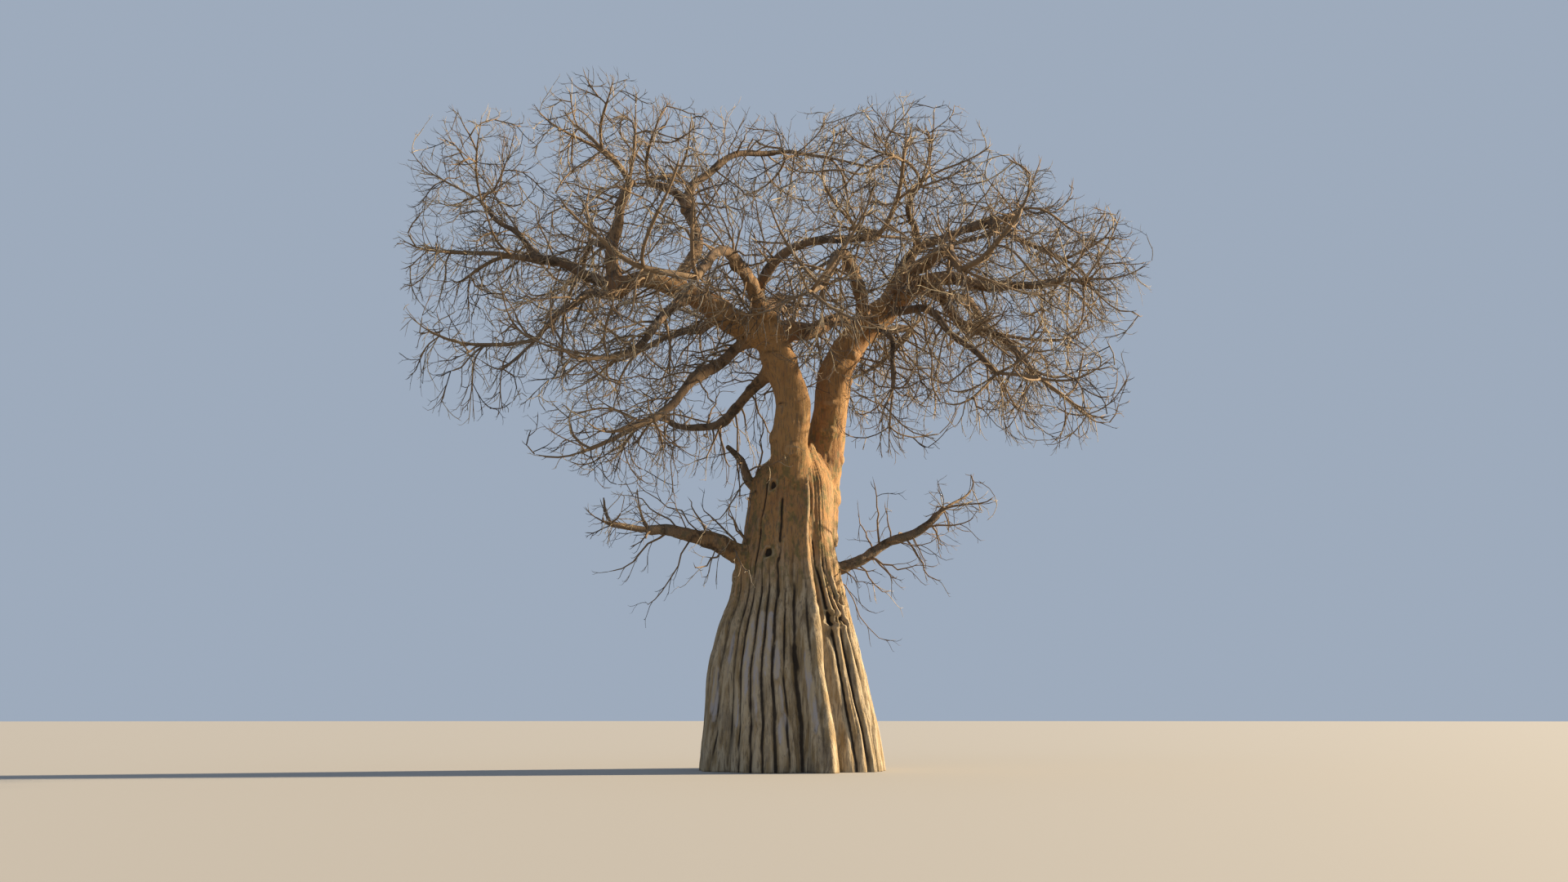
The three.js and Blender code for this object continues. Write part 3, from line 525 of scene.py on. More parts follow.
def loft_trunk():
    """The trunk with its swellings, from below the ground to the fork."""
    levels = int(round((TRUNK_SECTIONS[-1, 0] + SUNK) / LOFT_STEP))
    height = np.linspace(-SUNK, TRUNK_SECTIONS[-1, 0], levels + 1)
    azimuth = np.arange(LOFT_SIDES) * TAU / LOFT_SIDES
    z, a = np.meshgrid(height, azimuth, indexing="ij")
    middle, half_x, half_y = soft_section_at(np.maximum(z, 0))
    fade = 1 + (BUTTRESS_LEAST - 1) * np.clip(z / BUTTRESS_TOP, 0, 1)
    swell = np.ones_like(a)
    for centre, width, rise in BUTTRESSES:
        apart = turn_apart(a, math.radians(centre)) / math.radians(width)
        swell += fade * rise * np.exp(-apart * apart)
    ring = np.stack((middle + np.cos(a) * half_x * swell, np.sin(a) * half_y * swell, z), -1)
    ends = np.array(((section_at(0.0)[0], 0, -SUNK), (section_at(height[-1])[0], 0, height[-1])))
    vertices = np.concatenate((ring.reshape(-1, 3), ends))
    faces, here, after = ring_faces(levels + 1, LOFT_SIDES)
    bottom, top = len(vertices) - 2, len(vertices) - 1
    faces.append(np.stack((np.full(LOFT_SIDES, bottom), after, here), 1))
    last = levels * LOFT_SIDES
    faces.append(np.stack((np.full(LOFT_SIDES, top), last + here, last + after), 1))
    return vertices, np.concatenate(faces)


def limb_tube(limb):
    """A limb as a closed tube with a blunt tip."""
    steps = max(8, int(limb.length / LIMB_STEP))
    share = np.linspace(0, 1, steps + 1)
    line = limb.point(share)
    radii = limb.radius(share)
    end = line[-1] + limb.direction(1.0) * radii[-1] * BLUNTNESS
    line = np.concatenate((line, end[None]))
    radii = np.append(radii, 0)
    vertices, triangles, _ = tubes(line[None], radii[None], LIMB_SIDES)
    return vertices, triangles


def fused_body():
    """Trunk, stems and boughs as one skin: vertices and quads."""
    parts = [loft_trunk()] + [limb_tube(limb) for limb in LIMBS.values()]
    starts = np.cumsum([0] + [len(vertices) for vertices, _ in parts])
    vertices = np.concatenate([vertices for vertices, _ in parts])
    triangles = np.concatenate([triangles + start for (_, triangles), start in zip(parts, starts)])
    rough = make_mesh("rough_body", vertices, triangles, [])
    fuse = rough.modifiers.new("fuse", "REMESH")
    fuse.mode = "VOXEL"
    fuse.voxel_size = VOXEL
    skin = evaluated(rough)
    points = np.empty(3 * len(skin.vertices), np.float32)
    skin.vertices.foreach_get("co", points)
    quads = np.empty(len(skin.loops), np.int32)
    skin.loops.foreach_get("vertex_index", quads)
    bpy.data.objects.remove(rough, do_unlink=True)
    bpy.data.meshes.remove(skin)
    return points.reshape(-1, 3).astype(float), quads.reshape(-1, 4)


class Skin:
    """A mesh of quads whose vertices move: smoothing, normals and hollows by neighbours."""

    def __init__(self, points, quads):
        self.points, self.quads = points, quads
        pairs = np.concatenate([quads[:, (i, (i + 1) % 4)] for i in range(4)])
        self.a, self.b = pairs[:, 0], pairs[:, 1]
        self.degree = np.bincount(self.a, minlength=len(points)).astype(float)

    def around(self, values):
        """The mean of each vertex's neighbours."""
        if values.ndim == 1:
            return np.bincount(self.a, values[self.b], len(self.points)) / self.degree
        return np.stack([self.around(values[:, i]) for i in range(values.shape[1])], 1)

    def spread(self, values, rounds):
        """Values blurred over the skin."""
        for _ in range(rounds):
            values = self.around(values)
        return values

    def relax(self, pull):
        """Moves each vertex to the middle of its neighbours, by a share of the way."""
        self.points = self.points + pull * (self.around(self.points) - self.points)

    def normals(self):
        corner = self.points[self.quads]
        face = np.cross(corner[:, 2] - corner[:, 0], corner[:, 3] - corner[:, 1])
        total = np.stack([
            sum(np.bincount(self.quads[:, i], face[:, axis], len(self.points)) for i in range(4))
            for axis in range(3)
        ], 1)
        return unit(total)

    def bend(self):
        """How hollow the skin is at each vertex, in metres: above 0 in a crevice."""
        return ((self.around(self.points) - self.points) * self.normals()).sum(1)

    def fill_crotches(self, rounds):
        """Lets limbs flow into each other where they meet at a sharp inner corner."""
        for _ in range(rounds):
            hollow = self.spread(self.bend(), BEND_BLUR)
            pull = np.clip(hollow / CROTCH_BEND, 0, 1)
            for _ in range(CROTCH_PULLS):
                self.relax(pull[:, None] * CROTCH_PULL)


def home_of(points):
    """The limb that each point's skin belongs to, -1 for the trunk, with its share and radius there."""
    middle, half_x, half_y = section_at(points[:, 2])
    apart = np.hypot((points[:, 0] - middle) / half_x, points[:, 1] / half_y)
    best = (apart - 1) * half_x
    best[points[:, 2] > TRUNK_SECTIONS[-1, 0]] = np.inf
    home = np.full(len(points), -1)
    share = np.zeros(len(points))
    radius = half_x.copy()
    for index, limb in enumerate(LIMBS.values()):
        along = np.linspace(0, 1, max(12, int(limb.length / HOME_STEP)))
        line, radii = limb.point(along), limb.radius(along)
        reach = radii.max() + HOME_REACH
        near = np.flatnonzero(
            np.all((points > line.min(0) - reach) & (points < line.max(0) + reach), axis=1)
        )
        for chunk in chunks_of(near):
            gaps = np.linalg.norm(points[chunk, None] - line, axis=2) - radii
            closest = gaps.argmin(1)
            gap = gaps[np.arange(len(chunk)), closest]
            nearer = gap < best[chunk]
            won = chunk[nearer]
            best[won] = gap[nearer]
            home[won] = index
            share[won] = along[closest[nearer]]
            radius[won] = radii[closest[nearer]]
    return home, share, radius


# Bark: its relief

CLEFT_ROUND = 0.05  # how round the bottom of a cleft is: 0 for a sharp one
RIB_POWER = 0.4  # how broad ribs are beside clefts: below 0.5 they are the broader ones
FINE_RIBS = 86  # finer ribs round the trunk
FINE_RIB_DEPTH = 0.05
FINE_CLEFT_ROUND = 0.15
FINE_RIB_MIDDLE = 0.8
THICKEST_LUMPS = 0.28  # limbs above this radius have no larger lumps
UPRIGHT = np.array((1, 1, 0.28))  # stretches noise along the trunk
SCAR_DEPTH = 0.022
CURTAIN = math.radians(-32)  # azimuth of the folds that sweep to the right as they fall
CURTAIN_WIDTH = math.radians(26)
CURTAIN_SWEEP = math.radians(16)
# Narrow ridges, above 0, and clefts: azimuth in degrees, lower and upper end, half width and height
RIDGES = (
    (-63, -0.5, 4.25, 0.1, 0.06), (-56, -0.5, 3.85, 0.17, -0.09), (-81, -0.5, 3.5, 0.2, -0.04),
    (-28, 4.15, 5, 0.07, -0.12), (-66, 4.3, 9, 0.12, 0.05), (-59, 4.4, 9.4, 0.05, -0.09),
    (-52, 4.5, 6.4, 0.035, -0.06), (-43, 4.3, 5.9, 0.035, -0.06), (-97, 4.3, 7.6, 0.045, -0.05),
    (-128, 4.8, 8.2, 0.05, -0.06), (38, 4.6, 9.6, 0.05, -0.09), (88, 4.4, 8.6, 0.05, -0.07),
    (139, 4.7, 8.4, 0.05, -0.06), (24, -0.5, 3.6, 0.12, -0.08), (64, -0.5, 4, 0.11, 0.08),
)
# Long scars of stripped bark: azimuth in degrees, height of the middle, half width and half height
SCARS = (
    (-104, 3.4, 0.095, 0.95), (-97, 2.95, 0.11, 0.6), (-112, 2.95, 0.08, 1.55), (-120.5, 2.95, 0.1, 1.25),
    (-95, 1.95, 0.06, 0.45), (-151, 2.1, 0.11, 0.75), (-94, 1.05, 0.17, 0.55), (-129, 1.7, 0.07, 0.6),
    (-74, 2, 0.09, 1.3), (-141, 3.1, 0.06, 0.7), (35, 2.6, 0.12, 1.1), (62, 3.1, 0.08, 0.9),
    (77, 1.7, 0.16, 0.85), (98, 2.4, 0.09, 1.2), (121, 3, 0.12, 0.8), (152, 2.2, 0.08, 1.1),
    (171, 2.9, 0.1, 0.7), (8, 2.1, 0.07, 0.95),
)
# Hollows and knots: azimuth in degrees, height, radius and depth, which is below 0 for a knot
HOLLOWS = (
    (-45, 4.13, 0.13, 0.15), (-37, 4.06, 0.12, 0.14), (-31, 3.98, 0.07, 0.1), (-64, 4.33, 0.1, -0.06),
    (-58, 4.24, 0.07, 0.1), (-112, 5.95, 0.1, 0.1), (-119, 7.9, 0.1, 0.07), (-131, 6.8, 0.16, -0.06),
    (-98, 6.1, 0.14, -0.05), (-30, 4.62, 0.1, 0.12), (15, 5.1, 0.14, 0.1), (70, 6.2, 0.18, -0.08),
    (95, 4.6, 0.15, 0.12), (130, 7.1, 0.12, 0.08), (165, 5.4, 0.15, -0.07), (-160, 5, 0.12, 0.08),
    (44, 7.8, 0.1, 0.07), (112, 8.4, 0.1, 0.05),
)


def flute_rise(azimuth, height):
    """How far the ribs and clefts lie off the trunk's form, with sharper clefts than the solids'."""
    foot, lean, rise = FLUTES.T
    foot, lean, rise = (np.append(part, part[0]) for part in (foot, lean, rise))
    foot[-1] += 360
    back = smoothstep(*FLUTES_LEAN, height)
    turned = (np.degrees(azimuth) - foot[0]) % 360 + foot[0]
    result = np.zeros_like(azimuth)
    for i in range(len(FLUTES)):
        here, there = foot[i] - lean[i] * back, foot[i + 1] - lean[i + 1] * back
        share = (turned - here) / (there - here)
        between = (share >= 0) & (share < 1)
        up = share if rise[i + 1] > rise[i] else 1 - share
        profile = (np.sin(math.pi / 2 * up[between]) ** 2 + CLEFT_ROUND) ** RIB_POWER
        least, most = CLEFT_ROUND**RIB_POWER, (1 + CLEFT_ROUND) ** RIB_POWER
        profile = (profile - least) / (most - least)
        low, high = sorted((rise[i], rise[i + 1]))
        result[between] = low + (high - low) * profile
    return result * (1 + (FLUTES_LEAST - 1) * smoothstep(*FLUTES_FADE, height))


def trunk_relief(points):
    """How far the trunk's skin moves out at its points, and how much of it is a scar."""
    middle, half_x, half_y = section_at(points[:, 2])
    azimuth = np.arctan2(points[:, 1], points[:, 0] - middle)
    height = points[:, 2]
    radius = (half_x + half_y) / 2
    girdle = np.stack((np.cos(azimuth), np.sin(azimuth), np.zeros_like(azimuth)), 1)
    rise = UP * height[:, None]

    foot = 1 - smoothstep(*FLUTES_FADE, height)
    drift = 0.10 * noise(girdle * 2.0 + rise * 0.8, 34) + 0.03 * noise(girdle * 6.0 + rise * 2.5, 35)
    move = flute_rise(azimuth + 0.3 * drift / radius, height)
    within = np.exp(-(turn_apart(azimuth, CURTAIN) / CURTAIN_WIDTH) ** 2)
    sweep = CURTAIN_SWEEP * within * (1 - smoothstep(*FLUTES_LEAN, height))
    wander = 1.2 * noise(girdle * 2.1 + rise * 0.30, 11) + 0.9 * noise(girdle * 6 + rise * 0.5, 13)
    finer = (azimuth - sweep) / TAU * FINE_RIBS + wander
    finer = (np.sin(np.pi * finer) ** 2 + FINE_CLEFT_ROUND) ** RIB_POWER - FINE_RIB_MIDDLE
    strong = np.clip(0.7 + 0.75 * noise(girdle * 1.9 + rise * 0.35, 14) + 0.5 * within, 0.3, 1.2)
    move += FINE_RIB_DEPTH * finer * strong * (0.35 + 0.65 * foot)

    stretched = points * UPRIGHT
    move += 0.045 * layered_noise(points * 0.8, 2, 21)  # broad lumps
    move += 0.022 * layered_noise(stretched * 4.5, 3, 22)  # upright folds
    move += 0.014 * layered_noise(points * np.array((3, 3, 5.0)), 2, 23) * (1 - 0.6 * foot)  # wrinkles

    for centre, low, high, half_width, lift in RIDGES:
        across = (turn_apart(azimuth - sweep, math.radians(centre)) * radius + drift) / half_width
        fade = smoothstep(low, low + 0.5, height) * (1 - smoothstep(high - 0.18, high, height))
        move += lift * fade * np.exp(-(across**2))

    scar = np.zeros(len(points))
    ragged = 0.25 * noise(stretched * 9, 31) + 0.18 * noise(points * 6, 32)
    for centre, level, half_width, half_height in SCARS:
        across = (turn_apart(azimuth, math.radians(centre)) * radius + 0.4 * drift) / half_width
        up = (height - level) / half_height
        inside = 1 - np.hypot(across, np.abs(up) ** 1.6) + ragged
        scar = np.maximum(scar, smoothstep(0.0, 0.22, inside))
    move -= SCAR_DEPTH * scar

    for centre, level, size, depth in HOLLOWS:
        across = turn_apart(azimuth, math.radians(centre)) * radius
        apart = np.hypot(across, (height - level) * 0.75) / size * (1 + 0.3 * noise(points * 7, 33))
        move -= depth * np.exp(-(apart**4))
        move += 0.3 * abs(depth) * np.exp(-(((apart - 1.35) / 0.35) ** 2))
    return move, scar


def limb_relief(points, home, share, radius):
    """How far the skin of stems and boughs moves out."""
    limbs = list(LIMBS.values())
    along = np.array([limb.length for limb in limbs])[home] * share
    size = np.minimum(radius, THICKEST_LUMPS)
    lumps = 0.20 * size * layered_noise(points * 1.5, 2, 41)
    lumps += 0.08 * size * layered_noise(points * 5, 2, 42)
    lumps += 0.2 * size * smoothstep(0.2, 0.7, noise(points * 2.6, 46))
    rings = noise(np.stack((along * 5.5, home * 9.7, noise(points * 1.5, 43) * 1.5), 1), 44)
    stretched = points * np.array((1, 1, 0.3))
    folds = layered_noise(stretched * 5, 2, 45)
    is_stem = home < len(STEMS)
    return lumps + np.where(is_stem, 0.010 * folds + 0.005 * rings, 0.055 * radius * rings)


SMOOTH_ROUNDS = 4
CROTCH_ROUNDS = 14
# Over how many vertices the skin's values are blurred
TRUNK_BLUR = 10
DEPTH_BLUR = 16
BEND_BLUR = 2
GIRTH_BLUR = 8
# Painted shade and painted highlight: how dark a crevice and how pale a crest are painted, by its depth in
# metres, and by how sharply the skin bends there
HOLLOW_SHARE = 8
BEND_SHARE = 30
FULL_GIRTH = 0.5  # radius from which a limb has the bark of the trunk


def bark_skin():
    """The whole skin with its relief, and what its materials read at each vertex."""
    skin = Skin(*fused_body())
    for pull in SMOOTHING * SMOOTH_ROUNDS:
        skin.relax(pull)
    skin.fill_crotches(CROTCH_ROUNDS)
    home, share, radius = home_of(skin.points)
    on_trunk = skin.spread((home < 0).astype(float), TRUNK_BLUR)
    move, scar = trunk_relief(skin.points)
    other = limb_relief(skin.points, np.maximum(home, 0), share, radius)
    move = move * on_trunk + other * (1 - on_trunk)
    skin.points = skin.points + skin.normals() * move[:, None]
    depth = skin.spread(move, DEPTH_BLUR) - move
    bend = skin.spread(skin.bend(), BEND_BLUR)
    # hollow is high in crevices, where the bark gets painted shade, and low on crests, where it gets a painted
    # highlight
    hollow = np.clip(0.5 + HOLLOW_SHARE * depth + BEND_SHARE * bend, 0, 1)
    girth = skin.spread(np.where(home < 0, 1, np.clip(radius / FULL_GIRTH, 0, 1)), GIRTH_BLUR)
    skin.points = crooked(skin.points)
    return skin, home, {"hollow": hollow, "scar": scar * on_trunk, "girth": girth}


MOST_FACES = 190000  # in one piece of the bark


def bark_piece(name, skin, faces, marks, material):
    """One piece of the bark from some of the skin's quads, trimmed flat at the ground."""
    quads = skin.quads[faces]
    quads = quads[(skin.points[quads][:, :, 2] > 0).any(1)]
    used, quads = np.unique(quads, return_inverse=True)
    quads = quads.reshape(-1, 4)
    points = skin.points[used].copy()
    points[:, 2] = np.maximum(points[:, 2], 0)
    triangles = np.concatenate((quads[:, :3], quads[:, (0, 2, 3)]))
    made = make_mesh(name, points, triangles, [material])
    for mark, values in marks.items():
        layer = made.data.attributes.new(mark, "FLOAT", "POINT")
        layer.data.foreach_set("value", values[used].astype(np.float32))
    close_holes(made.data)
    thinned(made, MOST_FACES / len(triangles))
    return made


def thinned(made, share):
    """Takes faces out where the skin is flat, so that a share of them is left."""
    if share >= 1:
        return
    thin = made.modifiers.new("thin", "DECIMATE")
    thin.ratio = share
    before = made.data
    made.data = evaluated(made)
    made.modifiers.clear()
    bpy.data.meshes.remove(before)
    made.data.name = made.name


def close_holes(mesh):
    """Fills the open rims: the foot at the ground, and inside the roots of limbs."""
    work = bmesh.new()
    work.from_mesh(mesh)
    rims = [edge for edge in work.edges if edge.is_boundary]
    filled = bmesh.ops.holes_fill(work, edges=rims, sides=0)
    for face in filled["faces"]:
        face.smooth = False
    work.to_mesh(mesh)
    work.free()


# Materials


class Nodes:
    """Short hands for making the nodes of one material. Each returns an output."""

    def __init__(self, name, colour=(1, 1, 1), roughness=0.5, gloss=0.25):
        self.material = bpy.data.materials.new(name)
        self.material.use_nodes = True
        self.tree = self.material.node_tree
        self.tree.nodes.clear()
        inputs = {"Base Color": colour, "Roughness": roughness, "Specular IOR Level": gloss}
        surface = self.add("ShaderNodeBsdfPrincipled", inputs)
        self.shader = surface.node
        self.add("ShaderNodeOutputMaterial", {"Surface": surface}, None)

    def add(self, kind, inputs, output=0, **values):
        """A node. Its inputs are numbers, lists, colours or the outputs of other nodes."""
        node = self.tree.nodes.new(kind)
        for key, value in values.items():
            setattr(node, key, value)
        for key, value in inputs.items():
            self.give(node, key, value)
        return None if output is None else node.outputs[output]

    def give(self, node, key, value):
        if isinstance(value, bpy.types.NodeSocket):
            self.tree.links.new(value, node.inputs[key])
        else:
            node.inputs[key].default_value = (*value, 1) if isinstance(value, tuple) else value

    def noise(self, scale, detail, stretch=(1, 1, 1), roughness=0.55):
        """Noise that keeps to the object, stretched along each axis."""
        place = self.add("ShaderNodeTexCoord", {}, "Object")
        place = self.add("ShaderNodeMapping", {"Vector": place, "Scale": list(stretch)})
        inputs = {"Vector": place, "Scale": scale, "Detail": detail, "Roughness": roughness}
        return self.add("ShaderNodeTexNoise", inputs, "Fac")

    def mark(self, name):
        return self.add("ShaderNodeAttribute", {}, "Fac", attribute_name=name)

    def spread(self, source, low, high, to_low=0.0, to_high=1.0):
        """Maps the range from low to high smoothly to another one."""
        inputs = {"Value": source, "From Min": low, "From Max": high, "To Min": to_low, "To Max": to_high}
        return self.add("ShaderNodeMapRange", inputs, "Result", interpolation_type="SMOOTHSTEP")

    def product(self, a, b):
        return self.add("ShaderNodeMath", {0: a, 1: b}, operation="MULTIPLY")

    def mix(self, share, a, b):
        """Mixes two colours."""
        return self.add("ShaderNodeMix", {0: share, 6: a, 7: b}, 2, data_type="RGBA")

    def bump(self, height, strength, distance, **under):
        inputs = {"Height": height, "Strength": strength, "Distance": distance, **under}
        return self.add("ShaderNodeBump", inputs, "Normal")


STRAW = (0.215, 0.155, 0.08)
CREAM = (0.36, 0.295, 0.20)
TAN = (0.30, 0.168, 0.066)
RUST = (0.22, 0.108, 0.043)
GREY_BROWN = (0.088, 0.071, 0.056)
DARK_BROWN = (0.014, 0.010, 0.008)
OLIVE = (0.12, 0.105, 0.042)
LILAC_GREY = (0.31, 0.30, 0.32)


def bark(name):
    """Straw and cream at the foot, tan and rust above, olive in patches, grey where it is stripped
    and towards the tips of the boughs."""
    nodes = Nodes(name)
    place = nodes.add("ShaderNodeTexCoord", {}, "Object")
    height = nodes.add("ShaderNodeSeparateXYZ", {0: place}, "Z")
    hollow, scar, girth = (nodes.mark(mark) for mark in ("hollow", "scar", "girth"))
    broad = nodes.noise(0.55, 3)
    middling = nodes.noise(2.2, 5, (1, 1, 0.5), 0.6)
    streaks = nodes.noise(6.0, 6, (1, 1, 0.14), 0.6)
    threads = nodes.noise(24.0, 5, (1, 1, 0.09), 0.6)
    grain = nodes.noise(38.0, 5, (1, 1, 0.7), 0.65)

    uneven = nodes.spread(broad, 0.3, 0.7, -1.3, 1.3)
    height = nodes.add("ShaderNodeMath", {0: height, 1: uneven}, operation="ADD")
    low = nodes.mix(nodes.spread(streaks, 0.38, 0.62), STRAW, CREAM)
    low = nodes.mix(nodes.spread(middling, 0.50, 0.64, 0.0, 0.45), low, GREY_BROWN)
    high = nodes.mix(nodes.spread(broad, 0.38, 0.62), RUST, TAN)
    high = nodes.mix(nodes.spread(middling, 0.42, 0.6), high, TAN)
    colour = nodes.mix(nodes.spread(height, 3.4, 7.6), low, high)
    mottle = nodes.product(nodes.spread(height, 3.5, 5.5), nodes.spread(height, 11.5, 8.5))
    mottle = nodes.product(mottle, nodes.spread(nodes.noise(5.0, 6, (1, 1, 0.6), 0.65), 0.49, 0.6))
    colour = nodes.mix(nodes.product(mottle, 0.8), colour, OLIVE)
    colour = nodes.mix(nodes.spread(girth, 0.12, 0.7, 0.8, 0.0), colour, GREY_BROWN)
    # Dark brown in random patches where the limbs are thin
    dark_patches = nodes.spread(nodes.noise(3.2, 5, (1, 1, 1), 0.65), 0.5, 0.62, 0.0, 0.7)
    dark_patches = nodes.product(dark_patches, nodes.spread(girth, 0.4, 0.9, 1.0, 0.0))
    colour = nodes.mix(dark_patches, colour, DARK_BROWN)
    # Grey-brown between the fine threads: partly the bark's own dark fibres, partly painted shade in the
    # grooves of the threads' bump
    colour = nodes.mix(nodes.spread(threads, 0.36, 0.5, 0.65, 0.0), colour, GREY_BROWN)
    colour = nodes.mix(nodes.spread(grain, 0.56, 0.68, 0.0, 0.3), colour, CREAM)
    pale = nodes.mix(nodes.spread(streaks, 0.4, 0.6), LILAC_GREY, CREAM)
    colour = nodes.mix(nodes.product(scar, 0.85), colour, pale)
    # Painted shade: dark brown in the crevices, by the hollow mark. Painted highlight: cream on the crests.
    colour = nodes.mix(nodes.spread(hollow, 0.54, 0.8, 0.0, 0.93), colour, DARK_BROWN)
    colour = nodes.mix(nodes.spread(hollow, 0.12, 0.44, 0.4, 0.0), colour, CREAM)
    nodes.give(nodes.shader, "Base Color", colour)
    nodes.give(nodes.shader, "Roughness", nodes.spread(grain, 0.3, 0.7, 0.78, 0.97))
    relief = nodes.bump(streaks, 0.7, 0.06)
    relief = nodes.bump(threads, 0.8, 0.03, Normal=relief)
    relief = nodes.bump(grain, 0.7, 0.02, Normal=relief)
    nodes.give(nodes.shader, "Normal", relief)
    return nodes.material


# Twig colours, dealt out at random: the twigs' own tones, except that the pale straw is partly a painted
# highlight that stands for twigs in the sun
TWIG_COLOURS = {
    "ash": (0.175, 0.15, 0.12),
    "umber": (0.080, 0.058, 0.040),
    "straw": (0.36, 0.29, 0.19),
    "slate": (0.092, 0.082, 0.077),
    "tan": (0.19, 0.13, 0.075),
    "smoke": (0.050, 0.042, 0.036),
    "thick": (0.165, 0.115, 0.070),
}
TWIG_SHARES = (0.24, 0.16, 0.21, 0.13, 0.16, 0.10)
THICK_TWIG = 0.019  # a twig of more than this radius has the colour of thick ones


def twig_bark(name, colour):
    nodes = Nodes("twig_" + name, colour, 0.85)
    nodes.give(nodes.shader, "Normal", nodes.bump(nodes.noise(13.0, 5), 0.8, 0.03))
    return nodes.material


# Where twigs may grow


def limb_pieces():
    """Short straight pieces that stand for the limbs: their ends and radii, and the limb of each."""
    starts, ends, radii, owners = [], [], [], []
    for index, limb in enumerate(LIMBS.values()):
        steps = math.ceil(limb.length / LIMB_TEST_STEP)
        share = np.arange(steps + 1) / steps
        line, radius = limb.point(share), limb.radius(share)
        starts.append(line[:-1])
        ends.append(line[1:])
        radii.append(np.maximum(radius[:-1], radius[1:]))
        owners.append(np.full(steps, index))
    return [np.concatenate(part) for part in (starts, ends, radii, owners)]


PIECE_STARTS, PIECE_ENDS, PIECE_RADII, PIECE_OWNERS = limb_pieces()
MASS_NAMES = list(MASSES)
MIDDLES = np.array([middle for middle, _ in MASSES.values()])
REACHES = np.array([reach for _, reach in MASSES.values()])
FEET = np.array([LIMBS[name].tip for name in MASSES])
FEET_ENDS = FEET + np.array([LIMBS[name].direction(1.0) for name in MASSES]) * BARE_STEM
FEET_RADII = np.array([float(LIMBS[name].radius(1.0)) for name in MASSES])


def far_from(places, starts, ends, radii, clearance):
    """Whether places lie off every straight piece by its radius and the clearance."""
    span = ends - starts
    offset = places[:, None] - starts
    share = np.clip((offset * span).sum(-1) / (span * span).sum(-1), 0, 1)
    apart = np.linalg.norm(offset - share[..., None] * span, axis=-1)
    return (apart > radii + clearance).all(1)


def in_trunk(places):
    height = np.clip(places[:, 2], 0, TRUNK_SECTIONS[-1, 0])
    middle, half_x, _ = section_at(height)
    apart = np.hypot(places[:, 0] - middle, places[:, 1])
    return (places[:, 2] <= TRUNK_BERTH_TOP) & (apart < TRUNK_BERTH * half_x + TWIG_CLEARANCE)


def in_box(places, stray=0.0):
    """Whether places are in the box of the solids, or stray from it by less than this."""
    return ((places > CAD_LOWEST - stray) & (places < CAD_HIGHEST + stray)).all(1)


def clear_of_all(places):
    """Whether places are clear of the trunk and of every limb, and in the reach of the crown."""
    result = ~in_trunk(places) & in_box(places)
    for chunk in chunks_of(np.arange(len(places))):
        result[chunk] &= far_from(places[chunk], PIECE_STARTS, PIECE_ENDS, PIECE_RADII, 0.01)
    return result


class Space:
    """The space of one mass, with the limbs that run near it."""

    def __init__(self, mass):
        self.mass = mass
        near = np.linalg.norm((PIECE_STARTS - MIDDLES[mass]) / (REACHES[mass] + 1.0), axis=1) < 1
        others = np.arange(len(FEET)) != mass
        self.starts = np.concatenate((PIECE_STARTS[near], FEET[others]))
        self.ends = np.concatenate((PIECE_ENDS[near], FEET_ENDS[others]))
        self.radii = np.concatenate((PIECE_RADII[near], FEET_RADII[others]))

    def holds(self, places, ease=0.0):
        """Whether places are in this space and clear of limbs. ease lets them out of it a little."""
        out = np.linalg.norm((places[:, None] - MIDDLES) / REACHES, axis=-1)
        own = out[:, self.mass].copy()
        out[:, self.mass] = 99
        return (
            (own < 1 + ease)
            & (out.min(1) > own + SPACE_MARGIN - NEIGHBOUR_EASE * ease)
            & ~in_trunk(places)
            & in_box(places, STRAY)
            & far_from(places, self.starts, self.ends, self.radii, TWIG_CLEARANCE)
        )


SPACES = [Space(mass) for mass in range(len(MASSES))]

# The first twigs, by the rule of the solids, and the second ones by the same rule


def twig_curve(start, direction, tip, share, upturn=UPTURN):
    """Points of one twig, or of an array of them, at shares of its line.

    A twig leaves in the direction of its parent and turns up at its tip."""
    span = np.linalg.norm(tip - start, axis=-1, keepdims=True)
    towards = unit(tip - start)
    leaving = unit(direction + (towards - direction) * START_BLEND)
    finish = unit(towards + UP * upturn)
    first = start + leaving * span * START_PULL
    second = tip - finish * span * FINISH_PULL
    share = np.asarray(share)[:, None]
    return (
        start[..., None, :] * (1 - share) ** 3
        + first[..., None, :] * 3 * share * (1 - share) ** 2
        + second[..., None, :] * 3 * share**2 * (1 - share)
        + tip[..., None, :] * share**3
    )


class Joints:
    """The places of a mass that a twig may leave from. tips counts the tips that each carries."""

    def __init__(self):
        self.place = np.empty((MOST_JOINTS, 3))
        self.direction = np.empty((MOST_JOINTS, 3))
        self.path = np.empty(MOST_JOINTS)
        self.parent = np.full(MOST_JOINTS, -1)
        self.tips = np.zeros(MOST_JOINTS, int)
        self.count = 0

    def add(self, place, direction, path, parent):
        i = self.count
        self.place[i], self.direction[i], self.path[i], self.parent[i] = place, direction, path, parent
        self.count += 1
        return i

    def cheapest(self, tip):
        """The joints from which a twig to this tip costs the least."""
        towards = tip - self.place[: self.count]
        length = np.linalg.norm(towards, axis=1)
        cosine = (towards * self.direction[: self.count]).sum(1) / np.maximum(length, 1e-9)
        turn = np.arccos(np.clip(cosine, -1, 1)) / math.pi
        cost = length * (1 + TURN_WEIGHT * turn) + PATH_WEIGHT * self.path[: self.count]
        cost[length <= TWIG_SHORTEST] = np.inf
        best = np.argsort(cost, kind="stable")[:TRIES]
        return best[np.isfinite(cost[best])]

    def carry(self, joint):
        """Counts one more tip on the way from a joint to the foot."""
        while joint >= 0:
            self.tips[joint] += 1
            joint = self.parent[joint]


def sideways(direction, turn):
    """The way straight off a direction, at a turn about it."""
    across = unit(np.cross(direction, UP + 0.01))
    return np.cos(turn)[..., None] * across + np.sin(turn)[..., None] * np.cross(direction, across)


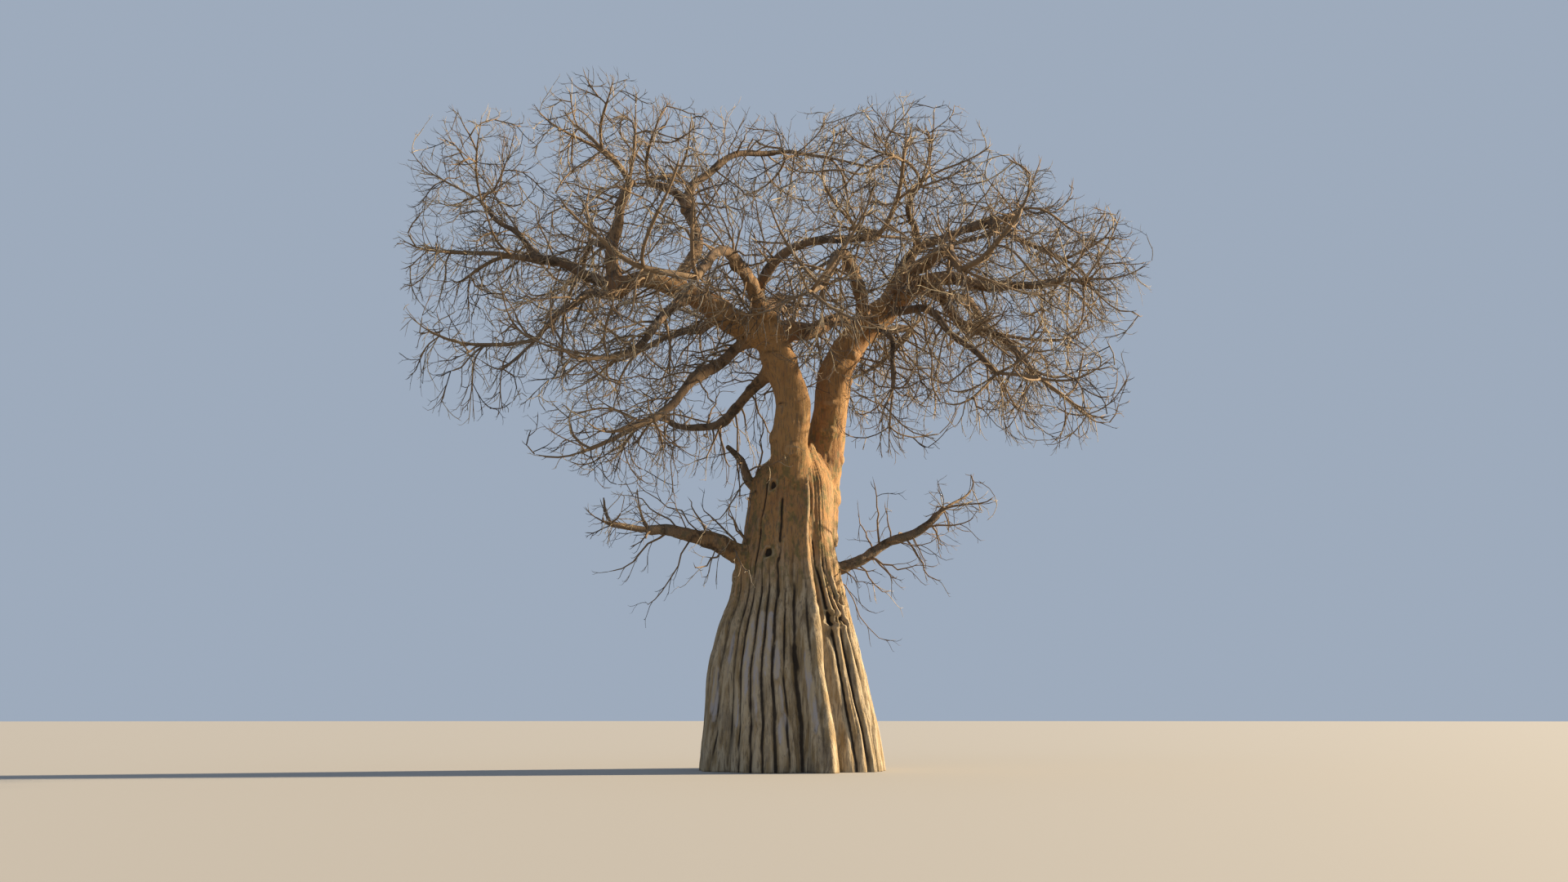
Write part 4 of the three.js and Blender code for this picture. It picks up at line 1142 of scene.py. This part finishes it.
def tips_of(mass, count, out_range, draw):
    """Places for the twigs of a mass to grow to, spread evenly on its rim or inside it."""
    tips = []
    least, most = out_range
    for i in range(count):
        rise = 1 - 2 * (i + 0.5) / count
        turn = i * GOLDEN_TURN + draw() * TURN_JITTER
        out = least + (most - least) * draw()
        flat = math.sqrt(1 - rise * rise)
        spread = np.array((flat * math.cos(turn), flat * math.sin(turn), rise))
        tips.append(MIDDLES[mass] + REACHES[mass] * spread * out)
    return tips


def grow_to(tips, joints, space, step, most_steps, ease=0.0):
    """Grows a twig to each tip in turn, and returns for each its line and the joints on it."""
    grown = []
    tests = (np.arange(TWIG_TESTS) + 1) / TWIG_TESTS
    for tip in tips:
        for joint in joints.cheapest(tip):
            start, direction = joints.place[joint], joints.direction[joint]
            span = np.linalg.norm(tip - start)
            steps = int(np.clip(math.floor(span / step + 0.5), 1, most_steps))
            corners = twig_curve(start, direction, tip, np.linspace(0, 1, steps + 1))
            legs = corners[1:] - corners[:-1]
            places = (corners[:-1, None] + legs[:, None] * tests[:, None]).reshape(-1, 3)
            if not space.holds(places, ease).all():
                continue
            points = max(1, int(round(span / steps / FINE_STEP)))
            line = twig_curve(start, direction, tip, np.linspace(0, 1, steps * points + 1))
            made = [joint]
            for corner, leg in zip(corners[1:], legs):
                length = np.linalg.norm(leg)
                made.append(joints.add(corner, leg / length, joints.path[made[-1]] + length, made[-1]))
            joints.carry(made[-1])
            grown.append((line, made))
            break
    return grown


def refined(joints, grown):
    """Makes the points between the joints of the first twigs joints too, for the second ones."""
    finer = []
    for line, corners in grown:
        each = (len(line) - 1) // (len(corners) - 1)
        made = [corners[0]]
        for i in range(1, len(line)):
            corner = corners[math.ceil(i / each)]
            if i % each == 0:
                joints.parent[corner] = made[-1]
                made.append(corner)
                continue
            leg = line[i] - line[i - 1]
            path = joints.path[made[-1]] + np.linalg.norm(leg)
            made.append(joints.add(line[i], unit(leg), path, made[-1]))
            joints.tips[made[-1]] = joints.tips[corner]
        finer.append((line, made))
    return finer


def grow_mass(mass):
    """The twigs of one mass: its stem, the first twigs and the second ones, as lines with radii."""
    draw = random_from(FIRST_SEED + SEED_STEP * mass)
    space = SPACES[mass]
    limb = LIMBS[MASS_NAMES[mass]]
    direction = limb.direction(1.0)
    foot = limb.tip + direction * GAP
    joints = Joints()
    joints.add(foot, direction, np.inf, -1)  # no twig leaves from the foot itself
    top = joints.add(limb.tip + direction * BARE_STEM, direction, BARE_STEM, 0)

    def furthest_first(tips):
        return sorted(tips, key=lambda tip: -np.linalg.norm(tip - foot))

    tips = tips_of(mass, RIM_TWIGS, RIM_OUT, draw) + tips_of(mass, INNER_TWIGS, INNER_OUT, draw)
    firsts = grow_to(furthest_first(tips), joints, space, TWIG_STEP, TWIG_MOST_STEPS)
    firsts = refined(joints, firsts)
    count = SECOND_TWIGS * (np.prod(REACHES[mass]) / USUAL_SIZE) ** SIZE_POWER
    tips = []
    for share, out_range in SECOND_SHELLS:
        tips += tips_of(mass, int(round(count * share)), out_range, draw)
    seconds = grow_to(furthest_first(tips), joints, space, FINE_STEP, SECOND_MOST_STEPS, EASE)
    thick = float(limb.radius(1.0))
    power = math.log(thick / TIP_RADIUS) / math.log(max(2, joints.tips[0]))
    radius = TIP_RADIUS * np.maximum(joints.tips, 1) ** power
    turn = np.linspace(0, TAU / 4, STEM_END)[:, None]
    ball = joints.place[top] + direction * np.sin(turn) * radius[top]
    stem = np.concatenate(([limb.point(STEM_SUNK), foot], ball))
    stem_radii = [thick * share for share in STEM_SHARES]
    stem_radii = np.concatenate((stem_radii, np.cos(turn[:, 0]) * radius[top]))
    twigs = []
    for group in (firsts, seconds):
        radii = [radius[made] for _, made in group]
        for each in radii:
            each[0] = each[1]
        twigs.append(([line for line, _ in group], radii))
    return (stem, stem_radii), *twigs


# Side twigs, made many at a time


class Twigs:
    """Twigs with the same number of points: lines, radii, the mass of each, -1 or -2 for twigs of
    the limbs themselves, and the spray of each, which shares a colour."""

    def __init__(self, lines, radii, owner, spray, sides):
        self.lines, self.radii, self.owner, self.spray, self.sides = lines, radii, owner, spray, sides

    def only(self, which):
        return Twigs(self.lines[which], self.radii[which], self.owner[which], self.spray[which], self.sides)

    def free(self):
        """Which of them keep to the space of their mass and clear of limbs."""
        free = np.ones(len(self.lines), bool)
        for mass in np.unique(self.owner):
            mine = np.flatnonzero(self.owner == mass)
            places = self.lines[mine, 1:].reshape(-1, 3)
            holds = SPACES[mass].holds(places, EASE) if mass >= 0 else clear_of_all(places)
            free[mine] = holds.reshape(len(mine), -1).all(1)
        return free


def resampled(values, points):
    """Values along lines of different numbers of points, as one array."""
    out = []
    for value in values:
        at = np.linspace(0, len(value) - 1, points)
        low = np.minimum(at.astype(int), len(value) - 2)
        part = (at - low).reshape(-1, *[1] * (value.ndim - 1))
        out.append(value[low] * (1 - part) + value[low + 1] * part)
    return np.array(out)


def droop_at(height):
    """How strongly side twigs hang: low in the crown they do, and at its top they rise."""
    return np.interp(height, (9.0, 13.0, 16.0, 18.0), (0.7, 0.35, 0.0, -0.35))


def thinness_at(height):
    """How far apart side twigs are: low in the crown it is more open."""
    return np.interp(height, (8.0, 12.0, 14.0), (1.7, 1.3, 0.9))


def side_twigs(parents, random, spacing, length, lean, points, thickest):
    """Twigs that leave the sides of others, turn by turn. One that can't grow to its length stays
    short, and one that still can't grow is left out."""
    whole = np.linalg.norm(np.diff(parents.lines, axis=1), axis=2).sum(1)
    apart = spacing * thinness_at(parents.lines[:, 0, 2])
    count = whole / apart + random.uniform(-COUNT_JITTER, COUNT_JITTER, len(whole))
    count = np.round(count).astype(int)
    parent = np.repeat(np.arange(len(count)), count)
    order = np.concatenate([np.arange(n) for n in count])
    many = len(parent)
    even = order + random.uniform(0.5 - SIDE_JITTER, 0.5 + SIDE_JITTER, many)
    place = FIRST_SIDE + SIDED_SHARE * even / count[parent]
    spot = place * (parents.lines.shape[1] - 1)
    low = np.minimum(spot.astype(int), parents.lines.shape[1] - 2)
    part = spot - low
    before, after = parents.lines[parent, low], parents.lines[parent, low + 1]
    start = before + (after - before) * part[:, None]
    direction = unit(after - before)
    side = sideways(direction, order * GOLDEN_TURN + random.uniform(0, TAU, len(count))[parent])
    bend = np.radians(random.uniform(*lean, many))[:, None]
    towards = direction * np.cos(bend) + side * np.sin(bend) + OUTWARD * unit(start * (1, 1, 0))
    towards -= UP * droop_at(start[:, 2])[:, None] * DROOP
    size = random.uniform(*length, many) * (SHORTER_OUTWARD[0] - SHORTER_OUTWARD[1] * place)
    size = np.minimum(size, LONGEST_SHARE * whole[parent])
    tip = start + unit(towards) * size[:, None]
    upturn = random.uniform(*SIDE_UPTURN, many)[:, None]
    lines = twig_curve(start, direction, tip, np.linspace(0, 1, points), upturn)
    lines[:, 1:-1] += random.normal(0, UNEVENNESS, lines[:, 1:-1].shape) * size[:, None, None]
    radii = parents.radii[parent, low] * (1 - part) + parents.radii[parent, low + 1] * part
    radii = np.clip(radii * THINNER, THINNEST * thickest, thickest)[:, None]
    radii = radii * np.linspace(1, THINNEST, points)
    made = Twigs(lines, radii, parents.owner[parent], parents.spray[parent], 3)
    free = made.free()
    made.lines[~free] = made.lines[~free, :1] + (made.lines[~free] - made.lines[~free, :1]) * SHORTENED
    free[~free] = made.only(~free).free()
    return made.only(free)


def side_of(lines):
    """The owner of twigs on limbs: -1 where they leave left of the origin, -2 right of it."""
    return np.where(lines[:, 0, 0] < 0, -1, -2)


def limb_twigs(random):
    """Twigs that leave the boughs and the tops of the stems themselves."""
    lines, radii = [], []
    for index, (name, limb) in enumerate(LIMBS.items()):
        out, most = LIMB_TWIG_SPAN
        least = STEM_BARE_SHARE if name in STEMS else (limb.buried + out) / limb.length
        others = PIECE_OWNERS != index
        for share in np.arange(least, most, LIMB_TWIG_STEP / limb.length):
            start, direction = limb.point(share), limb.direction(share)
            radius = float(limb.radius(share))
            for _ in range(TRIES):
                side = sideways(direction, random.uniform(0, TAU, ()))
                hang = UP * LIMB_TWIG_DROOP * droop_at(start[2])
                towards = unit(side + direction * random.uniform(*LIMB_TWIG_LEAN) - hang)
                tip = start + towards * (radius + random.uniform(*LIMB_TWIG_LENGTH))
                root = start + side * radius * LIMB_TWIG_ROOT
                leaving = unit(side + direction * LIMB_TWIG_LEAVING)
                along = np.linspace(0, 1, LIMB_TWIG_POINTS)
                line = twig_curve(root, leaving, tip, along, random.uniform(*LIMB_TWIG_UPTURN))
                uneven = random.normal(0, LIMB_TWIG_UNEVENNESS, line[1:-1].shape)
                line[1:-1] += uneven * np.linalg.norm(tip - root)
                thick = min(THICKEST_SHARE * radius, random.uniform(*LIMB_TWIG_RADIUS))
                if clear_of_all(line[2:]).all() and far_from(
                    line[:2], PIECE_STARTS[others], PIECE_ENDS[others], PIECE_RADII[others], 0.0
                ).all():
                    lines.append(line)
                    radii.append(thick * np.linspace(1, LIMB_TWIG_TAPER, LIMB_TWIG_POINTS))
                    break
    spray = FIRST_LIMB_SPRAY + np.arange(len(lines))
    lines = np.array(lines)
    return Twigs(lines, np.array(radii), side_of(lines), spray, 5)


def spurs(random):
    """Short bare spurs on the boughs."""
    lines = []
    out, most = SPUR_SPAN
    for name in BOUGHS:
        limb = LIMBS[name]
        for share in np.arange((limb.buried + out) / limb.length, most, SPUR_STEP / limb.length):
            start, direction = limb.point(share), limb.direction(share)
            radius = float(limb.radius(share))
            side = sideways(direction, random.uniform(0, TAU, ()))
            towards = unit(side + direction * random.uniform(*SPUR_LEAN))
            tip = start + side * radius + towards * random.uniform(*SPUR_LENGTH)
            root = start + side * radius * SPUR_ROOT
            lines.append(twig_curve(root, side, tip, np.linspace(0, 1, 3), SPUR_UPTURN))
    lines = np.array(lines)
    radii = np.tile(SPUR_RADII, (len(lines), 1))
    spray = FIRST_SPUR_SPRAY + np.arange(len(lines))
    return Twigs(lines, radii, side_of(lines), spray, 3).only(~in_trunk(lines[:, -1]))


def grow_crown():
    """All the twigs of the tree."""
    random = np.random.default_rng(77)
    crown = []
    grown = [grow_mass(mass) for mass in range(len(MASSES))]
    stems = [stem for stem, *_ in grown]
    owner = np.arange(len(MASSES))
    lines, radii = (np.array(part) for part in zip(*stems))
    crown.append(Twigs(lines, radii, owner, owner * SPRAYS_OF_MASS, 8))
    for order, points, sides in ((1, 11, 6), (2, 6, 4)):
        groups = [mass[order] for mass in grown]
        lines = resampled([line for group, _ in groups for line in group], points)
        radii = resampled([radius for _, group in groups for radius in group], points)
        many = [len(group) for group, _ in groups]
        owner = np.repeat(np.arange(len(MASSES)), many)
        number = np.concatenate([np.arange(n) for n in many])
        spray = owner * SPRAYS_OF_MASS + number + (order - 1) * RIM_TWIGS * 2
        crown.append(Twigs(lines, radii, owner, spray, sides))
    crown.append(limb_twigs(random))
    for parents in crown[1:4]:
        sides = side_twigs(parents, random, **SIDE_TWIG)
        crown += [sides, side_twigs(sides, random, **LAST_TWIG)]
    crown.append(spurs(random))
    return crown


# Pieces of the crown, with the masses that each replaces, and the twigs that no mass holds
ON_BOUGHS = {"crown_on_left_boughs": -1, "crown_on_right_boughs": -2}
CROWN_PIECES = {
    "crown_left_outer": ("left_long", "left_rise", "left_shelf", "left_hang"),
    "crown_left_low": ("left_drop", "left_low", "left_curl", "left_foot"),
    "crown_top": ("left_upright", "left_arch", "crown_top"),
    "crown_front": ("front_left", "front_mid", "front_right", "center_arch"),
    "crown_back": ("back_left", "back_mid", "cross", "back_right"),
    "crown_right": ("right_upper", "right_fall", "right_up", "right_main"),
    "crown_right_low": ("right_droop", "right_mid", "right_hang", "right_foot"),
    "crown_on_left_boughs": (),
    "crown_on_right_boughs": (),
}


def crown_pieces(crown, materials):
    """Joins the twigs into the pieces of the crown. Each spray has one of the twigs' colours."""
    colours = np.random.default_rng(5).choice(len(TWIG_SHARES), SPRAYS, p=TWIG_SHARES)
    for name, masses in CROWN_PIECES.items():
        members = [MASS_NAMES.index(mass) for mass in masses] or [ON_BOUGHS[name]]
        vertices, triangles, slots, start = [], [], [], 0
        for twigs in crown:
            mine = twigs.only(np.isin(twigs.owner, members))
            if not len(mine.lines):
                continue
            lines = crooked(mine.lines.reshape(-1, 3)).reshape(mine.lines.shape)
            points, faces, each = tubes(lines, mine.radii, mine.sides)
            vertices.append(points)
            triangles.append(faces + start)
            thin = mine.radii[:, 0] < THICK_TWIG
            slots.append(np.repeat(np.where(thin, colours[mine.spray], len(TWIG_SHARES)), each))
            start += len(points)
        vertices, triangles, slots = map(np.concatenate, (vertices, triangles, slots))
        piece = make_mesh(name, vertices, triangles, materials, slots)
        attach(piece, BODY)
        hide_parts(*("twigs_" + mass for mass in masses))


def bark_pieces():
    """The trunk, the stems and the boughs, cut from one skin."""
    skin, home, marks = bark_skin()
    kind = np.where(home < 0, 0, np.where(home < len(STEMS), 1, 2))[skin.quads]
    trunk, boughs = (kind == 0).sum(1) >= 2, (kind == 2).sum(1) >= 2
    for name, faces, nodes in (
        ("trunk", trunk & ~boughs, ["trunk"]),
        ("stems", ~trunk & ~boughs, list(STEMS)),
        ("boughs", boughs, ["bough_" + bough for bough in BOUGHS]),
    ):
        piece = bark_piece("bark_of_" + name, skin, faces, marks, bark("bark_of_" + name))
        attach(piece, BODY)
        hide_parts(*nodes)


# Stage: a pale floor, a low warm key light from the right and a soft fill

CAMERA_PLACE = (0.0, -43.36, 1.43)
CAMERA_PITCH = math.radians(10.3)
CAMERA_YAW = math.radians(0.2)
CAMERA_LENS = 35.0
FLOOR_RADIUS = 700.0
FLOOR_SIDES = 72
FLOOR_COLOUR = (0.28, 0.275, 0.265)
FLOOR_DROP = 0.002
# Lamps: strength, colour, azimuth, height above the ground and softness in degrees
LAMPS = {"key": (15.0, (1.0, 0.79, 0.52), 15, 19, 2.5), "fill": (0.35, (0.80, 0.88, 1.0), -120, 30, 60)}
SKY = (0.62, 0.74, 0.92)
SKY_STRENGTH = 0.55


def make_stage():
    turn = np.arange(FLOOR_SIDES) * TAU / FLOOR_SIDES
    rim = np.stack((np.cos(turn), np.sin(turn), 0 * turn), 1) * FLOOR_RADIUS
    corner = np.arange(1, FLOOR_SIDES - 1)
    triangles = np.stack((0 * corner, corner, corner + 1), 1)
    floor = make_mesh("floor", rim, triangles, [Nodes("floor", FLOOR_COLOUR, 0.95, 0.5).material])
    floor.location.z = -FLOOR_DROP


def sun(name, strength, colour, azimuth, elevation, softness):
    """A lamp that shines from an azimuth, from +X towards +Y, and a height above the ground."""
    lamp = bpy.data.lights.new(name, "SUN")
    lamp.energy = strength
    lamp.color = colour
    lamp.angle = math.radians(softness)
    a, e = math.radians(azimuth), math.radians(elevation)
    source = Vector((math.cos(a) * math.cos(e), math.sin(a) * math.cos(e), math.sin(e)))
    placed(name, lamp).rotation_euler = source.to_track_quat("Z", "Y").to_euler()


def light_scene():
    for name, values in LAMPS.items():
        sun(name, *values)
    world = bpy.data.worlds.new("studio")
    world.use_nodes = True
    background = world.node_tree.nodes["Background"]
    background.inputs["Color"].default_value = (*SKY, 1)
    background.inputs["Strength"].default_value = SKY_STRENGTH
    bpy.context.scene.world = world
    bpy.context.scene.view_settings.view_transform = "Standard"


def place_camera():
    camera = bpy.data.cameras.new("camera")
    camera.lens = CAMERA_LENS
    camera.sensor_width = 36.0
    camera.clip_end = 1000.0
    made = placed("camera", camera)
    made.location = CAMERA_PLACE
    made.rotation_euler = (math.pi / 2 + CAMERA_PITCH, 0, CAMERA_YAW)
    bpy.context.scene.camera = made


place_camera()
make_stage()
light_scene()
bark_pieces()
crown_pieces(grow_crown(), [twig_bark(name, colour) for name, colour in TWIG_COLOURS.items()])
